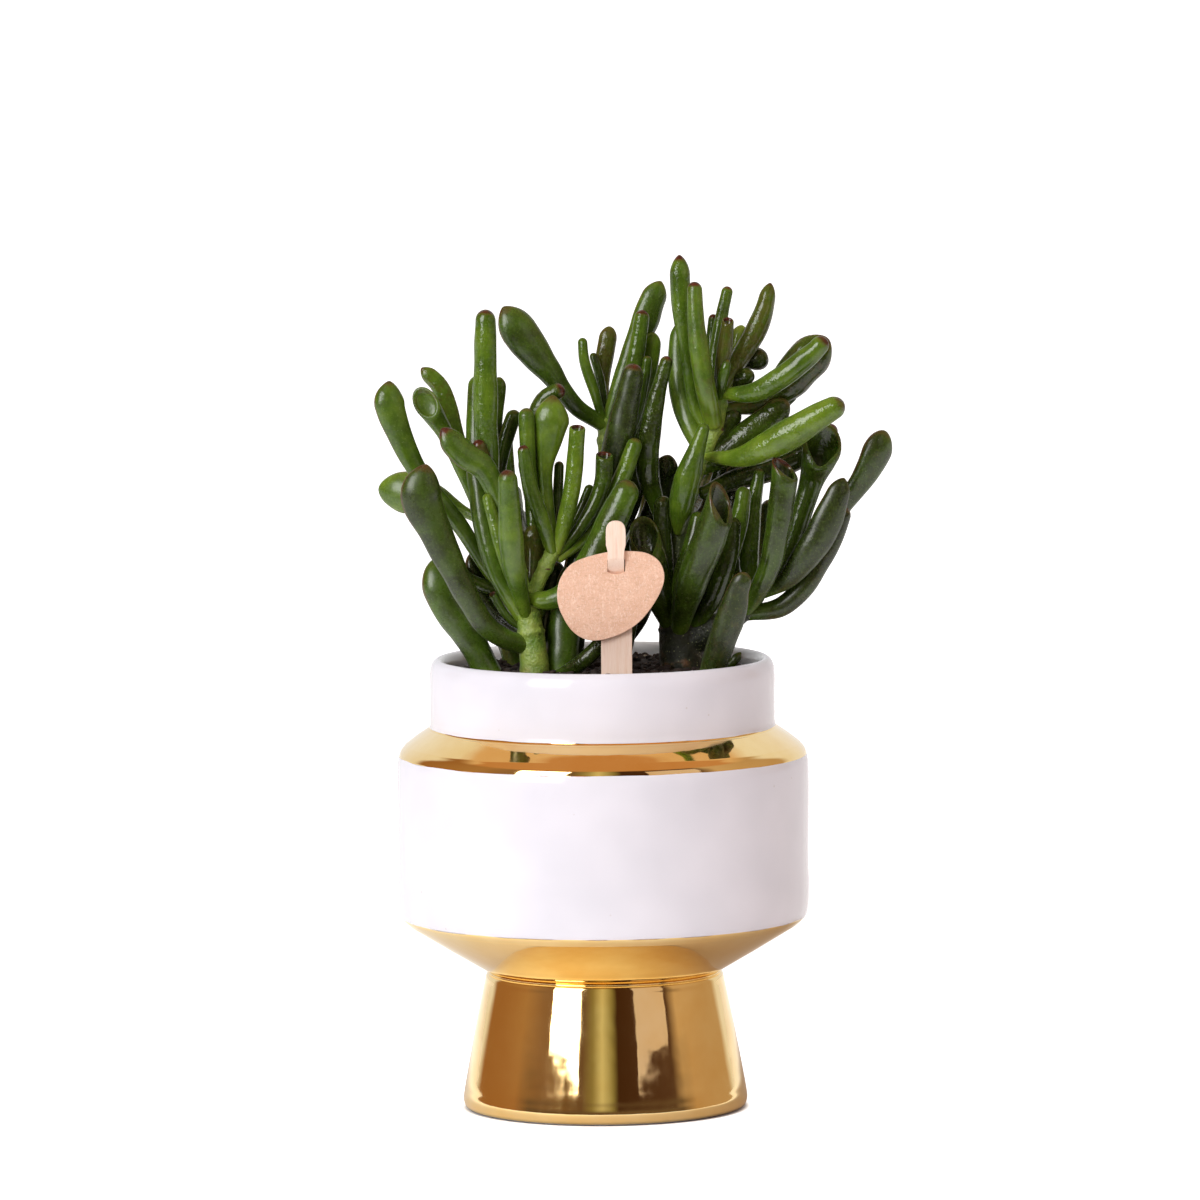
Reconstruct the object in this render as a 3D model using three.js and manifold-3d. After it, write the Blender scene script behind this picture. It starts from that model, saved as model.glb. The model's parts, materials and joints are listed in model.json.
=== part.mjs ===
// A hobbit jade (Crassula ovata) in its nursery pot, standing in a footed ceramic cover pot.
// Millimetres, +Z up. The origin is on the pot's axis, at the underside of its foot.
// The front, where the label hangs, looks along -Y, and +X is to its right.
import * as THREE from "three";
import { mergeVertices } from "three/addons/utils/BufferGeometryUtils.js";
import Module from "manifold-3d";

const wasm = await Module();
wasm.setup();

// Driving dimensions of the cover pot, as radii and heights.
const FOOT_RADIUS = 43.3;
const FOOT_HEIGHT = 41.8;
const WAIST_RADIUS = 35.6;
const BODY_RADIUS = 62.8;
const BODY_BOTTOM = 61.5;
const BODY_TOP = 107.5;
const NECK_RADIUS = 52.6;
const NECK_BOTTOM = 117.2;
const RIM_HEIGHT = 138.1;
const RIM_RADIUS = 50.2;
const WALL = 4.8;
const FLOOR = 5;

// Driving dimensions of the 90 mm nursery pot and of the soil in it.
const NURSERY_RIM_RADIUS = 45;
const NURSERY_BASE_RADIUS = 32.2;
const NURSERY_WALL = 1;
const NURSERY_BOTTOM = 44.9;
const NURSERY_TOP = 134.4;
const SOIL_TOP = 135;

// The wooden stake and the label board that hangs on its neck.
const STAKE_X = 4.4;
const STAKE_THICKNESS = 1.2;
const SHANK_WIDTH = 9.4;
const SHANK_Y = -27.1;
const STAKE_BOTTOM = 96;
const SHANK_TOP = 163;
const NECK_WIDTH = 4.7;
const HEAD_WIDTH = 6.2;
const HEAD_Y = -30.7;
const HEAD_TOP = 182.6;
const SLOT_HEIGHT = 168.2;
const LABEL_THICKNESS = 1.6;
const LABEL_Y = -28.9;

// Meshes that touch keep this gap, and a leaf or a limb has this many sides.
const GAP = 0.3;
const LEAF_SIDES = 8;
const LIMB_SIDES = 10;
const POT_SIDES = 48;

// Kinds of leaf. flat is thickness over width, and dome is the length of the rounded end
// over half the width there. A pointed end narrows evenly, and a cup has a hollow end.
const FINGER = { flat: 0.86, dome: 0.9 };
const SPOON = { flat: 0.42, dome: 1.25 };
const BEAK = { flat: 0.5, dome: 1.9, pointed: true };
const CUP = { flat: 1, dome: 0, cup: true };

const COLOUR = {
  ceramic: 0xf4f1f4,
  plastic: 0x23201f,
  soil: 0x1d1613,
  wood: 0xefcfae,
  board: 0xdcb08e,
  leftStem: 0x7f9a3a,
  darkStem: 0x3b4120,
  leftLeaf: 0x4f7a2b,
  middleLeaf: 0x46692a,
  rightLeaf: 0x3c5a26,
};

const FRONT = new THREE.Vector3(0, -1, 0);

function leaf(name, kind, turn, widths, ...path) {
  return { name, kind, turn, widths, path };
}

function limb(radii, ...path) {
  return { radii, path };
}

// Each leaf: name, kind, turn of its flat side away from the front in degrees, its widths from
// the stem to where the end starts to round off, and its centre-line from the stem to the tip.
const LEFT_LEAVES = [
  leaf("left_big_spoon_leaf", SPOON, 10, [5.5, 7.8, 9.8, 12.9],
    [-21.5, -15, 144.5], [-27, -18, 144.2], [-39.6, -23, 157], [-49.8, -28, 177.6], [-53, -30, 199.8]),
  leaf("left_low_spoon_leaf", SPOON, 20, [8.6, 9.2, 11, 11.6],
    [-33, -11, 131], [-40.4, -10, 146], [-46.6, -9, 156.6], [-51.9, -8, 169.2]),
  leaf("left_high_spoon_leaf", SPOON, 15, [4.4, 5.2, 6.8, 9.2],
    [-24.5, -11.5, 158], [-31, -9, 162], [-43, -11, 180], [-54.3, -14, 197.3], [-61.3, -15, 209.6],
    [-63.9, -16, 223.8]),
  leaf("left_far_disc_leaf", SPOON, 0, [3.8, 4, 4.6, 12],
    [-27.2, -6, 175], [-40, 2, 181.5], [-54, 5, 186.3], [-67.3, 7, 189.3]),
  leaf("left_trumpet_leaf", CUP, 0, [3.6, 4, 4.2, 7.8],
    [-25.5, -8.5, 167], [-33, -4, 176], [-42, -3, 195], [-48, -4, 208], [-52.8, -10, 217.6]),
  leaf("left_back_finger_leaf", FINGER, 0, [3.8, 4.6, 5.4],
    [-27, -6, 172], [-41, 2.5, 197], [-46, 3, 211], [-52.8, 4, 227.6]),
  leaf("left_beak_leaf", BEAK, 20, [4.6, 6, 7.6],
    [-26.8, -9.5, 173], [-29, -13, 182], [-33.6, -17.5, 194], [-41.2, -19.5, 202], [-46.9, -20.5, 210]),
  leaf("left_front_finger_leaf", FINGER, 0, [5, 7.4, 7, 5.8],
    [-22, -16.5, 150.5], [-25, -23, 161], [-27.3, -27.5, 174.5], [-28.2, -31, 198.2]),
  leaf("left_pale_finger_leaf", FINGER, 0, [5, 6.6, 6.2],
    [-24, -14.5, 151.5], [-33, -15.5, 166.5], [-38, -12, 188], [-39.5, -6, 209], [-38.4, -3, 224.7]),
  leaf("left_tall_finger_leaf", FINGER, 0, [3.2, 3, 6.8, 5.8],
    [-28.3, -7.8, 180], [-33, -9.6, 195], [-34, -14, 218], [-34.4, -15.5, 245.7]),
  leaf("left_inner_finger_leaf", FINGER, 0, [3.6, 4, 4.4],
    [-28, -6.5, 181.5], [-29.6, -3, 194], [-26.6, -1, 205.5], [-24.9, 0, 214]),
  leaf("fork_left_finger_leaf", FINGER, 0, [3.4, 4.2, 4.4],
    [-15.2, -14.2, 171.5], [-18.6, -11.5, 182], [-21.4, -11.5, 194], [-22.5, -12, 215.5]),
  leaf("fork_front_finger_leaf", FINGER, 0, [3.8, 4.4, 4.6],
    [-14.8, -16, 172], [-18.6, -18, 184], [-21.6, -19, 193], [-23.5, -20.5, 204.8]),
  leaf("fork_big_spoon_leaf", SPOON, 0, [3.8, 5, 6.6, 11],
    [-14.5, -14, 173], [-16.6, -10.5, 190], [-15.8, -9.5, 201], [-14.7, -10, 219]),
  leaf("fork_trumpet_leaf", CUP, 0, [3.6, 5, 5.2, 4.9],
    [-13.8, -15.5, 172], [-11, -16, 181], [-8.6, -16.5, 192], [-6.9, -17.2, 210]),
  leaf("fork_far_trumpet_leaf", CUP, 0, [3, 4, 4.6, 5.6],
    [-13.2, -14.5, 171.5], [-7, -13, 178], [-2, -12, 186], [0.6, -12, 193], [1.2, -12.6, 201]),
  leaf("label_curl_leaf", FINGER, 0, [5.4, 6.8, 7, 7],
    [-21, -15.5, 158], [-16, -18, 157.5], [-10, -19.5, 160.5], [-2.6, -20, 170], [3, -20.5, 181],
    [9.2, -21, 193.8]),
  leaf("fork_bright_finger_leaf", FINGER, 0, [3.6, 4.6, 4.8],
    [-12.9, -14, 170], [-5, -10, 176], [1.4, -9, 183], [6.4, -9, 193.5], [11, -9.6, 205.8]),
  leaf("left_dark_blade_leaf", SPOON, 40, [4.6, 6, 7],
    [-22.5, -11.5, 146], [-31, -7, 151.5], [-36.6, -5, 160], [-39.4, -3.5, 171]),
];

const MIDDLE_LEAVES = [
  leaf("top_left_spoon_leaf", BEAK, 15, [4.8, 5.2, 6, 11.2],
    [0.6, 11.5, 208.5], [-7.5, 8, 214.5], [-15.9, 5, 226], [-22.6, 3, 235], [-29.4, 2, 245.4]),
  leaf("middle_olive_leaf", BEAK, 0, [3, 4, 5.8],
    [1.5, 13.4, 209], [0.7, 18, 222], [3.2, 20, 238]),
  leaf("middle_dark_finger_leaf", FINGER, 0, [6, 8.2, 8.4, 7],
    [3.4, 11.5, 172], [3, 1, 186], [4.6, -3, 202.2], [7.4, -5, 217.3], [9.6, -6.5, 228.2]),
  leaf("middle_back_spoon_leaf", BEAK, 10, [4, 5, 6.4, 10],
    [2, 12.5, 208], [7, 12.5, 221], [12, 12.5, 234], [19.6, 13, 252]),
  leaf("middle_slim_finger_leaf", FINGER, 0, [3.6, 4.4, 4.6],
    [2.4, 10.8, 205], [8, 6.5, 218], [11.4, 5.5, 232], [13.2, 5, 243.8]),
  leaf("middle_right_finger_leaf", FINGER, 0, [5, 7.6, 7, 4.6],
    [17.6, 3, 182.5], [14.2, -1, 196], [16.4, -4, 214.2], [20.7, -5, 230.4]),
];

const RIGHT_LEAVES = [
  leaf("tallest_leaf", FINGER, 0, [3.8, 4.2, 4.6, 6.2],
    [33, 1, 206.5], [29.4, 4, 214], [27.4, 3.6, 226], [25.9, 2, 240], [24.8, 0.6, 260.4]),
  leaf("right_front_tall_leaf", FINGER, 0, [5.4, 7, 5.4, 4.2],
    [34.4, -2.5, 209.5], [32.4, -7, 220], [30, -8.6, 238], [29.4, -8.6, 253.2]),
  leaf("right_left_finger_leaf", FINGER, 0, [5.6, 7.2, 6.6, 4.6],
    [30.8, -1.5, 201], [27.2, -4.5, 209], [24.8, -5.6, 218], [23.9, -5, 238.8]),
  leaf("right_top_finger_leaf", FINGER, 0, [2.8, 3.6, 3.8],
    [36.6, 1, 219], [37, 4.4, 231], [38.6, 5.4, 242], [39.4, 5.6, 250.6]),
  leaf("right_top_lean_leaf", FINGER, 0, [3, 5, 5.6],
    [37.6, 0.6, 221], [44, 5, 230], [47.8, 6, 237.6], [52, 6, 251.4]),
  leaf("right_arm_upper_leaf", FINGER, 0, [4.6, 5.6, 6.2],
    [36.6, -1, 218.6], [46, -6, 219.4], [55, -9, 224.1], [62, -10.5, 229.6], [68.6, -11.5, 235.9]),
  leaf("right_arm_back_spoon_leaf", SPOON, 0, [3.4, 4.4, 7.4, 10.8],
    [36.2, 1, 213.5], [48, 4, 216], [56, 4, 220.8], [62, 3.6, 227.4], [69.4, 3, 234.8]),
  leaf("right_bright_arm_leaf", FINGER, 0, [4.2, 6.6, 8, 8.4],
    [31.2, -2, 200.6], [42.7, -11, 199.6], [55, -16, 204.8], [65.6, -19, 211.6], [74, -21, 215.4]),
  leaf("right_arm_dark_leaf", FINGER, 0, [4.4, 6, 6],
    [31.4, 1.4, 202], [44.2, 1, 208], [52, 0, 213.5], [57.4, -0.6, 216.4]),
  leaf("right_big_trumpet_leaf", CUP, 0, [4.4, 6, 6.2, 11],
    [45.5, -2, 155.5], [55.5, -1, 167], [60.8, -0.6, 181], [64.6, -0.8, 193], [67.4, -6, 202.8]),
  leaf("right_slot_cup_leaf", CUP, 0, [5, 6.6, 6.2, 7.9],
    [43.6, -5, 153], [50, -11.5, 161.2], [53.2, -14.5, 173.2], [55, -16.5, 185.6], [56.6, -17.8, 198]),
  leaf("right_broad_blade_leaf", BEAK, 10, [4.4, 6.4, 8, 8.4],
    [48, -4, 157.5], [55.5, -7.4, 161.5], [61, -9.6, 168.1], [66.4, -11.4, 176], [70, -12.4, 183.6],
    [73.8, -13, 193.6]),
  leaf("right_low_curved_leaf", FINGER, 0, [4.6, 5.2, 5.4, 4.6],
    [44.5, -3.6, 151.6], [54.5, -3.4, 153.4], [61.5, -3.2, 159.4], [66.4, -3, 166.8], [71.2, -3, 175.6],
    [74.2, -3, 184]),
  leaf("right_far_spoon_leaf", SPOON, 25, [3.6, 3.6, 4.2, 8.2],
    [46.4, -0.8, 156.2], [61, 5, 168], [74.4, 4, 184.6], [81.6, 2.6, 194.8], [87, 1.6, 207]),
  leaf("right_front_slot_cup_leaf", CUP, 0, [5.6, 6.8, 7.4, 9.6],
    [25, -4.5, 146], [28.4, -14, 157], [32.2, -20, 171], [36.6, -24, 190.8]),
  leaf("right_inner_blade_leaf", FINGER, 0, [4.6, 5.4, 5.4],
    [28.5, -3.4, 147], [34.8, -6.8, 159], [38.4, -8, 169.5], [40.4, -8.4, 181.4]),
  leaf("right_soil_finger_leaf", FINGER, 0, [7.2, 7.4, 6.6],
    [31.6, -15, 131], [37.4, -19, 148], [40.2, -21.5, 157.3], [42.9, -24, 165.6]),
  leaf("right_bright_finger_leaf", FINGER, 0, [5.6, 6.8, 5, 3.6],
    [23.6, -3, 175.5], [25, -9.6, 187], [28.6, -12, 198], [31.8, -13, 210]),
  leaf("right_shade_cup_leaf", CUP, 0, [5.6, 7.4, 10.4],
    [20.5, -3, 149], [17, -7, 158.5], [14.5, -9, 169.5], [13.3, -10, 181.8]),
];

const BACK_LEAVES = [
  leaf("centre_soil_leaf", SPOON, 10, [8, 8.6, 8.4],
    [-11.8, -9, 131], [-10.8, -8, 147], [-9, -7, 158], [-7.6, -6.5, 167]),
  leaf("back_left_spoon_leaf", SPOON, 0, [3.8, 5, 6.8],
    [-25.8, -7.6, 168], [-31, 7, 180], [-34, 19, 193], [-34.5, 27, 206]),
  leaf("back_left_finger_leaf", FINGER, 0, [4, 5.4, 5.4],
    [-22.4, -11, 156], [-23, 6, 169], [-26, 19, 178], [-27, 31, 188]),
  leaf("back_fork_finger_leaf", FINGER, 0, [3.6, 5, 5.2],
    [-20.6, -11, 150], [-17, 4, 158], [-18, 18, 168], [-19, 27, 184]),
  leaf("back_middle_spoon_leaf", SPOON, 0, [4, 5, 8],
    [2.2, 13.6, 196], [7, 24, 200], [11, 33, 208], [12, 39, 218]),
  leaf("back_right_spoon_leaf", SPOON, 0, [4.2, 5.4, 8.4],
    [27.6, 1.6, 191], [32, 18, 197], [34, 32, 207], [34, 40, 219]),
  leaf("back_right_finger_leaf", FINGER, 0, [4.4, 6, 6],
    [24, 2.4, 166], [30, 17, 172], [34, 31, 180], [37, 41, 192]),
  leaf("back_low_spoon_leaf", SPOON, 0, [5, 7, 8],
    [-20, -11, 145], [-24, 6, 150], [-28, 20, 156], [-31, 31, 166]),
];

// Limbs of the three plants: the radii along each, and its centre-line from the soil upwards.
const LEFT_STEM = [
  limb([4.4, 4.5, 4.2, 3.8, 3],
    [-20.5, -14, 118], [-20.5, -14, 135], [-21.3, -14, 145], [-22.3, -14, 152], [-23.5, -13, 159]),
  limb([2.8, 2.5, 2.3, 1.9],
    [-23.2, -13, 157], [-25, -10.4, 166], [-27, -8, 175], [-28.6, -7, 184]),
  limb([2.4, 2.3, 2.3, 2.5],
    [-22, -14.2, 154], [-19.5, -15, 162], [-16.6, -15, 168], [-14.4, -15, 172.6]),
];
const MIDDLE_STEM = [
  limb([4, 4, 3.4, 3, 2.6, 2.3],
    [4.5, 14, 118], [4.5, 14, 135], [3.5, 14, 158], [3, 13, 176], [1.8, 12, 196], [1.3, 12, 210]),
];
const RIGHT_STEM = [
  limb([6.8, 7, 6, 5, 4, 3.2, 2.9, 2.6, 2.2, 1.6],
    [24.7, 0, 118], [24.7, 0, 135], [23.4, 0, 150], [22.9, 0, 165], [24.6, 0, 180], [27.6, 0, 192],
    [30.8, 0, 200], [34, 0, 208], [36, 0, 216], [37.4, 0, 222]),
  limb([3.4, 2.8, 2.4],
    [23, 0.5, 162], [20, 2, 173], [17.6, 4, 183.4]),
  limb([4, 3.2, 2.8, 2.4],
    [24.6, -1, 142], [33, -2.6, 146.5], [43, -3.4, 152], [48, -2.8, 157.5]),
];

// Solids and meshes

// Degenerate triangles, as at a lathe's poles, go before the mesh becomes a solid.
function solidOf(geometry) {
  const bare = geometry.clone();
  bare.deleteAttribute("normal");
  bare.deleteAttribute("uv");
  const merged = mergeVertices(bare, 1e-4);
  const place = merged.getAttribute("position").array;
  const index = merged.getIndex().array;
  const triangles = [];
  let volume = 0;
  for (let i = 0; i < index.length; i += 3) {
    const [a, b, c] = index.slice(i, i + 3);
    if (a === b || b === c || c === a) continue;
    const corner = (k) => new THREE.Vector3().fromArray(place, 3 * k);
    volume += corner(a).dot(corner(b).cross(corner(c)));
    triangles.push(a, b, c);
  }
  if (volume < 0) triangles.reverse();
  const mesh = new wasm.Mesh({
    numProp: 3,
    vertProperties: new Float32Array(place),
    triVerts: new Uint32Array(triangles),
  });
  return new wasm.Manifold(mesh);
}

function meshOf(name, solid, finish) {
  const { vertProperties, triVerts } = solid.getMesh();
  const geometry = new THREE.BufferGeometry();
  geometry.setAttribute("position", new THREE.BufferAttribute(new Float32Array(vertProperties), 3));
  geometry.setIndex(new THREE.BufferAttribute(new Uint32Array(triVerts), 1));
  geometry.computeVertexNormals();
  const mesh = new THREE.Mesh(geometry, new THREE.MeshStandardMaterial(finish));
  mesh.name = name;
  return mesh;
}

function joined(solids) {
  return solids.reduce((whole, solid) => whole.add(solid));
}

function lathed(points, sides) {
  const profile = points.map(([radius, height]) => new THREE.Vector2(radius, height));
  return solidOf(new THREE.LatheGeometry(profile, sides).rotateX(Math.PI / 2));
}

// A plate cut to a front outline, standing in the XZ plane with its middle at a given y.
function plate(shape, thickness, y) {
  const settings = { depth: thickness, bevelEnabled: false, curveSegments: 10 };
  const geometry = new THREE.ExtrudeGeometry(shape, settings);
  geometry.rotateX(Math.PI / 2);
  geometry.translate(0, y + thickness / 2, 0);
  return solidOf(geometry);
}

function centreLine(path) {
  return new THREE.CatmullRomCurve3(path.map((point) => new THREE.Vector3(...point)), false, "centripetal");
}

// A lathed body of unit height, bent along a centre-line: across and deep are its half widths
// at a share of the length, and turn rolls the wide side away from the front.
function bentBody(profile, sides, path, turn) {
  const curve = centreLine(path);
  const length = curve.getLength();
  const outline = profile.map(({ across, at }) => new THREE.Vector2(across, at));
  const geometry = new THREE.LatheGeometry(outline, sides);
  const stations = profile.map(({ at, deep, across }) => {
    const share = THREE.MathUtils.clamp(at, 0, 1);
    const tangent = curve.getTangentAt(share).normalize();
    const centre = curve.getPointAt(share).addScaledVector(tangent, (at - share) * length);
    return { tangent, centre, ratio: across > 0 ? deep / across : 1 };
  });
  let front = FRONT;
  for (const station of stations) {
    front = front.clone().lerp(FRONT, 0.6);
    front.addScaledVector(station.tangent, -front.dot(station.tangent)).normalize();
    station.front = front;
  }
  const place = geometry.getAttribute("position");
  const roll = THREE.MathUtils.degToRad(turn);
  for (let i = 0; i < place.count; i += 1) {
    const { tangent, centre, ratio, front: facing } = stations[i % stations.length];
    const deepWay = facing.clone().applyAxisAngle(tangent, roll);
    const wideWay = deepWay.clone().cross(tangent);
    const point = centre.clone();
    point.addScaledVector(wideWay, place.getX(i));
    point.addScaledVector(deepWay, place.getZ(i) * ratio);
    place.setXYZ(i, point.x, point.y, point.z);
  }
  return solidOf(geometry);
}

function between(values, share) {
  const at = THREE.MathUtils.clamp(share, 0, 1) * (values.length - 1);
  const low = Math.min(Math.floor(at), values.length - 2);
  return THREE.MathUtils.lerp(values[low], values[low + 1], at - low);
}

// A leaf's solid. extra thickens it all round, for the hollow that its neighbour leaves for it.
function leafSolid({ kind, turn, widths, path }, extra = 0) {
  const length = centreLine(path).getLength();
  const endHalf = widths.at(-1) / 2;
  const domeShare = (kind.dome * endHalf) / length;
  const bodyShare = 1 - domeShare;
  const profile = [];
  const add = (half, at, off = 0) => {
    const across = half + extra;
    profile.push({ across, deep: half * kind.flat + extra, at: at + (off * extra) / length });
  };
  profile.push({ across: 0, deep: 0, at: -extra / length });
  add(between(widths, 0) / 2, 0, -1);
  for (const share of [0.3, 0.55, 0.8]) add(between(widths, share) / 2, share * bodyShare);
  add(endHalf, bodyShare, kind.cup ? 1 : 0);
  if (kind.cup && extra === 0) {
    profile.push({ across: endHalf * 0.7, deep: endHalf * 0.7, at: 1 });
    profile.push({ across: 0, deep: 0, at: 1 - (1.1 * endHalf) / length });
    return bentBody(profile, LEAF_SIDES, path, turn);
  }
  if (!kind.cup) {
    for (const share of [0.5, 0.85]) {
      const narrowing = kind.pointed ? 1 - share ** 1.7 : Math.sqrt(1 - share ** 2);
      add(endHalf * narrowing, bodyShare + share * domeShare, 1);
    }
  }
  profile.push({ across: 0, deep: 0, at: 1 + (extra * 1.3) / length });
  return bentBody(profile, LEAF_SIDES, path, turn);
}

function limbSolid({ radii, path }, extra = 0) {
  const length = centreLine(path).getLength();
  const steps = path.length * 2;
  const profile = [{ across: 0, deep: 0, at: -extra / length }];
  for (let step = 0; step <= steps; step += 1) {
    const share = step / steps;
    const across = between(radii, share) + extra;
    profile.push({ across, deep: across, at: step === 0 ? -extra / length : share });
  }
  const end = radii.at(-1);
  const shoulder = (end + extra) * 0.6;
  profile.push({ across: shoulder, deep: shoulder, at: 1 + (end * 0.6 + extra) / length });
  profile.push({ across: 0, deep: 0, at: 1 + (end * 0.8 + extra) / length });
  return bentBody(profile, LIMB_SIDES, path, 0);
}

function stemSolid(limbs, extra = 0) {
  return joined(limbs.map((limb) => limbSolid(limb, extra)));
}

// Pots and soil

function coverPotSolid() {
  const outside = [
    [0, 0], [41, 0], [42.7, 0.9], [FOOT_RADIUS, 3.6], [42.7, 9], [41.4, 16.5], [40, 24], [38.3, 32],
    [36.9, 38], [36.2, 40.6], [WAIST_RADIUS, FOOT_HEIGHT], [36.4, 42.4], [59.8, 56.8], [61.8, 58.9],
    [62.5, BODY_BOTTOM], [BODY_RADIUS, 68], [BODY_RADIUS, 104.5], [62.5, BODY_TOP], [61.7, 110.1],
    [60.2, 111.9], [53.2, 116.9], [NECK_RADIUS, NECK_BOTTOM + 1], [NECK_RADIUS, 133.6], [52.2, 136],
    [51.4, 137.4], [RIM_RADIUS, RIM_HEIGHT],
  ];
  const neckInside = NECK_RADIUS - WALL;
  const bodyInside = BODY_RADIUS - WALL;
  const throat = WAIST_RADIUS - WALL;
  const footInside = FOOT_RADIUS - WALL;
  const inside = [
    [49, 137.6], [48.2, 136.4], [neckInside, 134], [neckInside, 115.5], [bodyInside, 108], [bodyInside, 64],
    [throat + 0.4, 45], [throat, 43.4], [throat, 41], [footInside - 0.6, FLOOR + 5],
    [footInside - 5, FLOOR], [0, FLOOR],
  ];
  return lathed([...outside, ...inside], POT_SIDES);
}

function nurseryRadius(height) {
  const share = (height - NURSERY_BOTTOM) / (NURSERY_TOP - NURSERY_BOTTOM);
  return THREE.MathUtils.lerp(NURSERY_BASE_RADIUS, NURSERY_RIM_RADIUS - 0.8, share);
}

function nurseryPotSolid() {
  const lipBottom = NURSERY_TOP - 5;
  const floor = NURSERY_BOTTOM + NURSERY_WALL;
  return lathed([
    [0, NURSERY_BOTTOM], [nurseryRadius(NURSERY_BOTTOM) - 1.5, NURSERY_BOTTOM],
    [nurseryRadius(NURSERY_BOTTOM + 1.5), NURSERY_BOTTOM + 1.5], [nurseryRadius(lipBottom), lipBottom],
    [NURSERY_RIM_RADIUS, lipBottom], [NURSERY_RIM_RADIUS, NURSERY_TOP],
    [nurseryRadius(NURSERY_TOP) - NURSERY_WALL, NURSERY_TOP],
    [nurseryRadius(floor + 1) - NURSERY_WALL, floor + 1], [nurseryRadius(floor) - 2.5, floor], [0, floor],
  ], 40);
}

// The soil fills the nursery pot and stands a little above its rim in the middle.
function soilSolid() {
  const bottom = NURSERY_BOTTOM + NURSERY_WALL + GAP;
  const inset = NURSERY_WALL + GAP + 0.2;
  const edge = SOIL_TOP - 1.4;
  return lathed([
    [0, bottom], [nurseryRadius(bottom) - inset - 2, bottom],
    [nurseryRadius(bottom + 3) - inset, bottom + 3], [nurseryRadius(edge) - inset, edge],
    [nurseryRadius(edge) - inset - 1.6, SOIL_TOP - 0.2], [0, SOIL_TOP],
  ], 40);
}

// Stake and label

function shankShape() {
  const half = SHANK_WIDTH / 2;
  const point = 14;
  const shape = new THREE.Shape();
  shape.moveTo(STAKE_X - 1, STAKE_BOTTOM);
  shape.lineTo(STAKE_X + 1, STAKE_BOTTOM);
  shape.lineTo(STAKE_X + half, STAKE_BOTTOM + point);
  shape.lineTo(STAKE_X + half, SHANK_TOP - 3);
  shape.quadraticCurveTo(STAKE_X + half, SHANK_TOP, STAKE_X + NECK_WIDTH / 2, SHANK_TOP + 1);
  shape.lineTo(STAKE_X - NECK_WIDTH / 2, SHANK_TOP + 1);
  shape.quadraticCurveTo(STAKE_X - half, SHANK_TOP, STAKE_X - half, SHANK_TOP - 3);
  shape.lineTo(STAKE_X - half, STAKE_BOTTOM + point);
  return shape;
}

function headShape(bottom) {
  const neck = NECK_WIDTH / 2;
  const head = HEAD_WIDTH / 2;
  const x = STAKE_X - 0.4;
  const shape = new THREE.Shape();
  shape.moveTo(x - neck, bottom);
  shape.lineTo(x + neck, bottom);
  shape.lineTo(x + neck, 174.3);
  shape.quadraticCurveTo(x + head, 175.2, x + head, 177);
  shape.quadraticCurveTo(x + head, HEAD_TOP, x, HEAD_TOP);
  shape.quadraticCurveTo(x - head, HEAD_TOP, x - head, 177);
  shape.quadraticCurveTo(x - head, 175.2, x - neck, 174.3);
  return shape;
}

// The stake's neck slants forward through the label's slot, from the shank's plane to the head's.
function slantSolid() {
  const half = STAKE_THICKNESS / 2;
  const rise = SHANK_Y - HEAD_Y;
  const low = SLOT_HEIGHT - rise / 2;
  const high = SLOT_HEIGHT + rise / 2;
  const side = new THREE.Shape();
  side.moveTo(SHANK_Y - half, SHANK_TOP);
  side.lineTo(SHANK_Y + half, SHANK_TOP);
  side.lineTo(SHANK_Y + half, low + 0.6);
  side.lineTo(HEAD_Y + half, high + 0.6);
  side.lineTo(HEAD_Y + half, high + 2);
  side.lineTo(HEAD_Y - half, high + 2);
  side.lineTo(HEAD_Y - half, high - 0.2);
  side.lineTo(SHANK_Y - half, low - 0.2);
  const geometry = new THREE.ExtrudeGeometry(side, { depth: NECK_WIDTH, bevelEnabled: false });
  const [alongX, alongY, alongZ] = [[1, 0, 0], [0, 1, 0], [0, 0, 1]].map((v) => new THREE.Vector3(...v));
  geometry.applyMatrix4(new THREE.Matrix4().makeBasis(alongY, alongZ, alongX));
  geometry.translate(STAKE_X - 0.2 - NECK_WIDTH / 2, 0, 0);
  return solidOf(geometry);
}

function stakeSolid() {
  const headBottom = SLOT_HEIGHT + (SHANK_Y - HEAD_Y) / 2 + 0.4;
  return joined([
    plate(shankShape(), STAKE_THICKNESS, SHANK_Y),
    slantSolid(),
    plate(headShape(headBottom), STAKE_THICKNESS, HEAD_Y),
  ]);
}

// A rounded triangle, broad at the upper left and narrow at the lower left.
function labelShape() {
  const shape = new THREE.Shape();
  shape.setFromPoints(new THREE.SplineCurve([
    [-13.4, 158.8], [-12.6, 164.6], [-9, 169.4], [1.2, 172.8], [7.6, 173.2], [14, 172.4], [17.6, 169.8],
    [19, 165.6], [17.6, 160.4], [11.4, 151.8], [4.4, 147.6], [-3.4, 146.2], [-8.4, 148.6], [-12, 154],
  ].map(([x, z]) => new THREE.Vector2(x, z))).getPoints(42));
  return shape;
}

function labelSolid() {
  const board = plate(labelShape(), LABEL_THICKNESS, LABEL_Y);
  const slotWide = NECK_WIDTH + 2 * GAP + 0.6;
  const slotTall = 4.8;
  const slot = new THREE.BoxGeometry(slotWide, LABEL_THICKNESS + 2, slotTall);
  slot.translate(STAKE_X - 0.2, LABEL_Y, SLOT_HEIGHT + 0.2);
  return board.subtract(solidOf(slot));
}

// Assembly

function boxesMeet(one, other, margin) {
  const a = one.boundingBox();
  const b = other.boundingBox();
  return [0, 1, 2].every((axis) => a.min[axis] < b.max[axis] + margin && b.min[axis] < a.max[axis] + margin);
}

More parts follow.
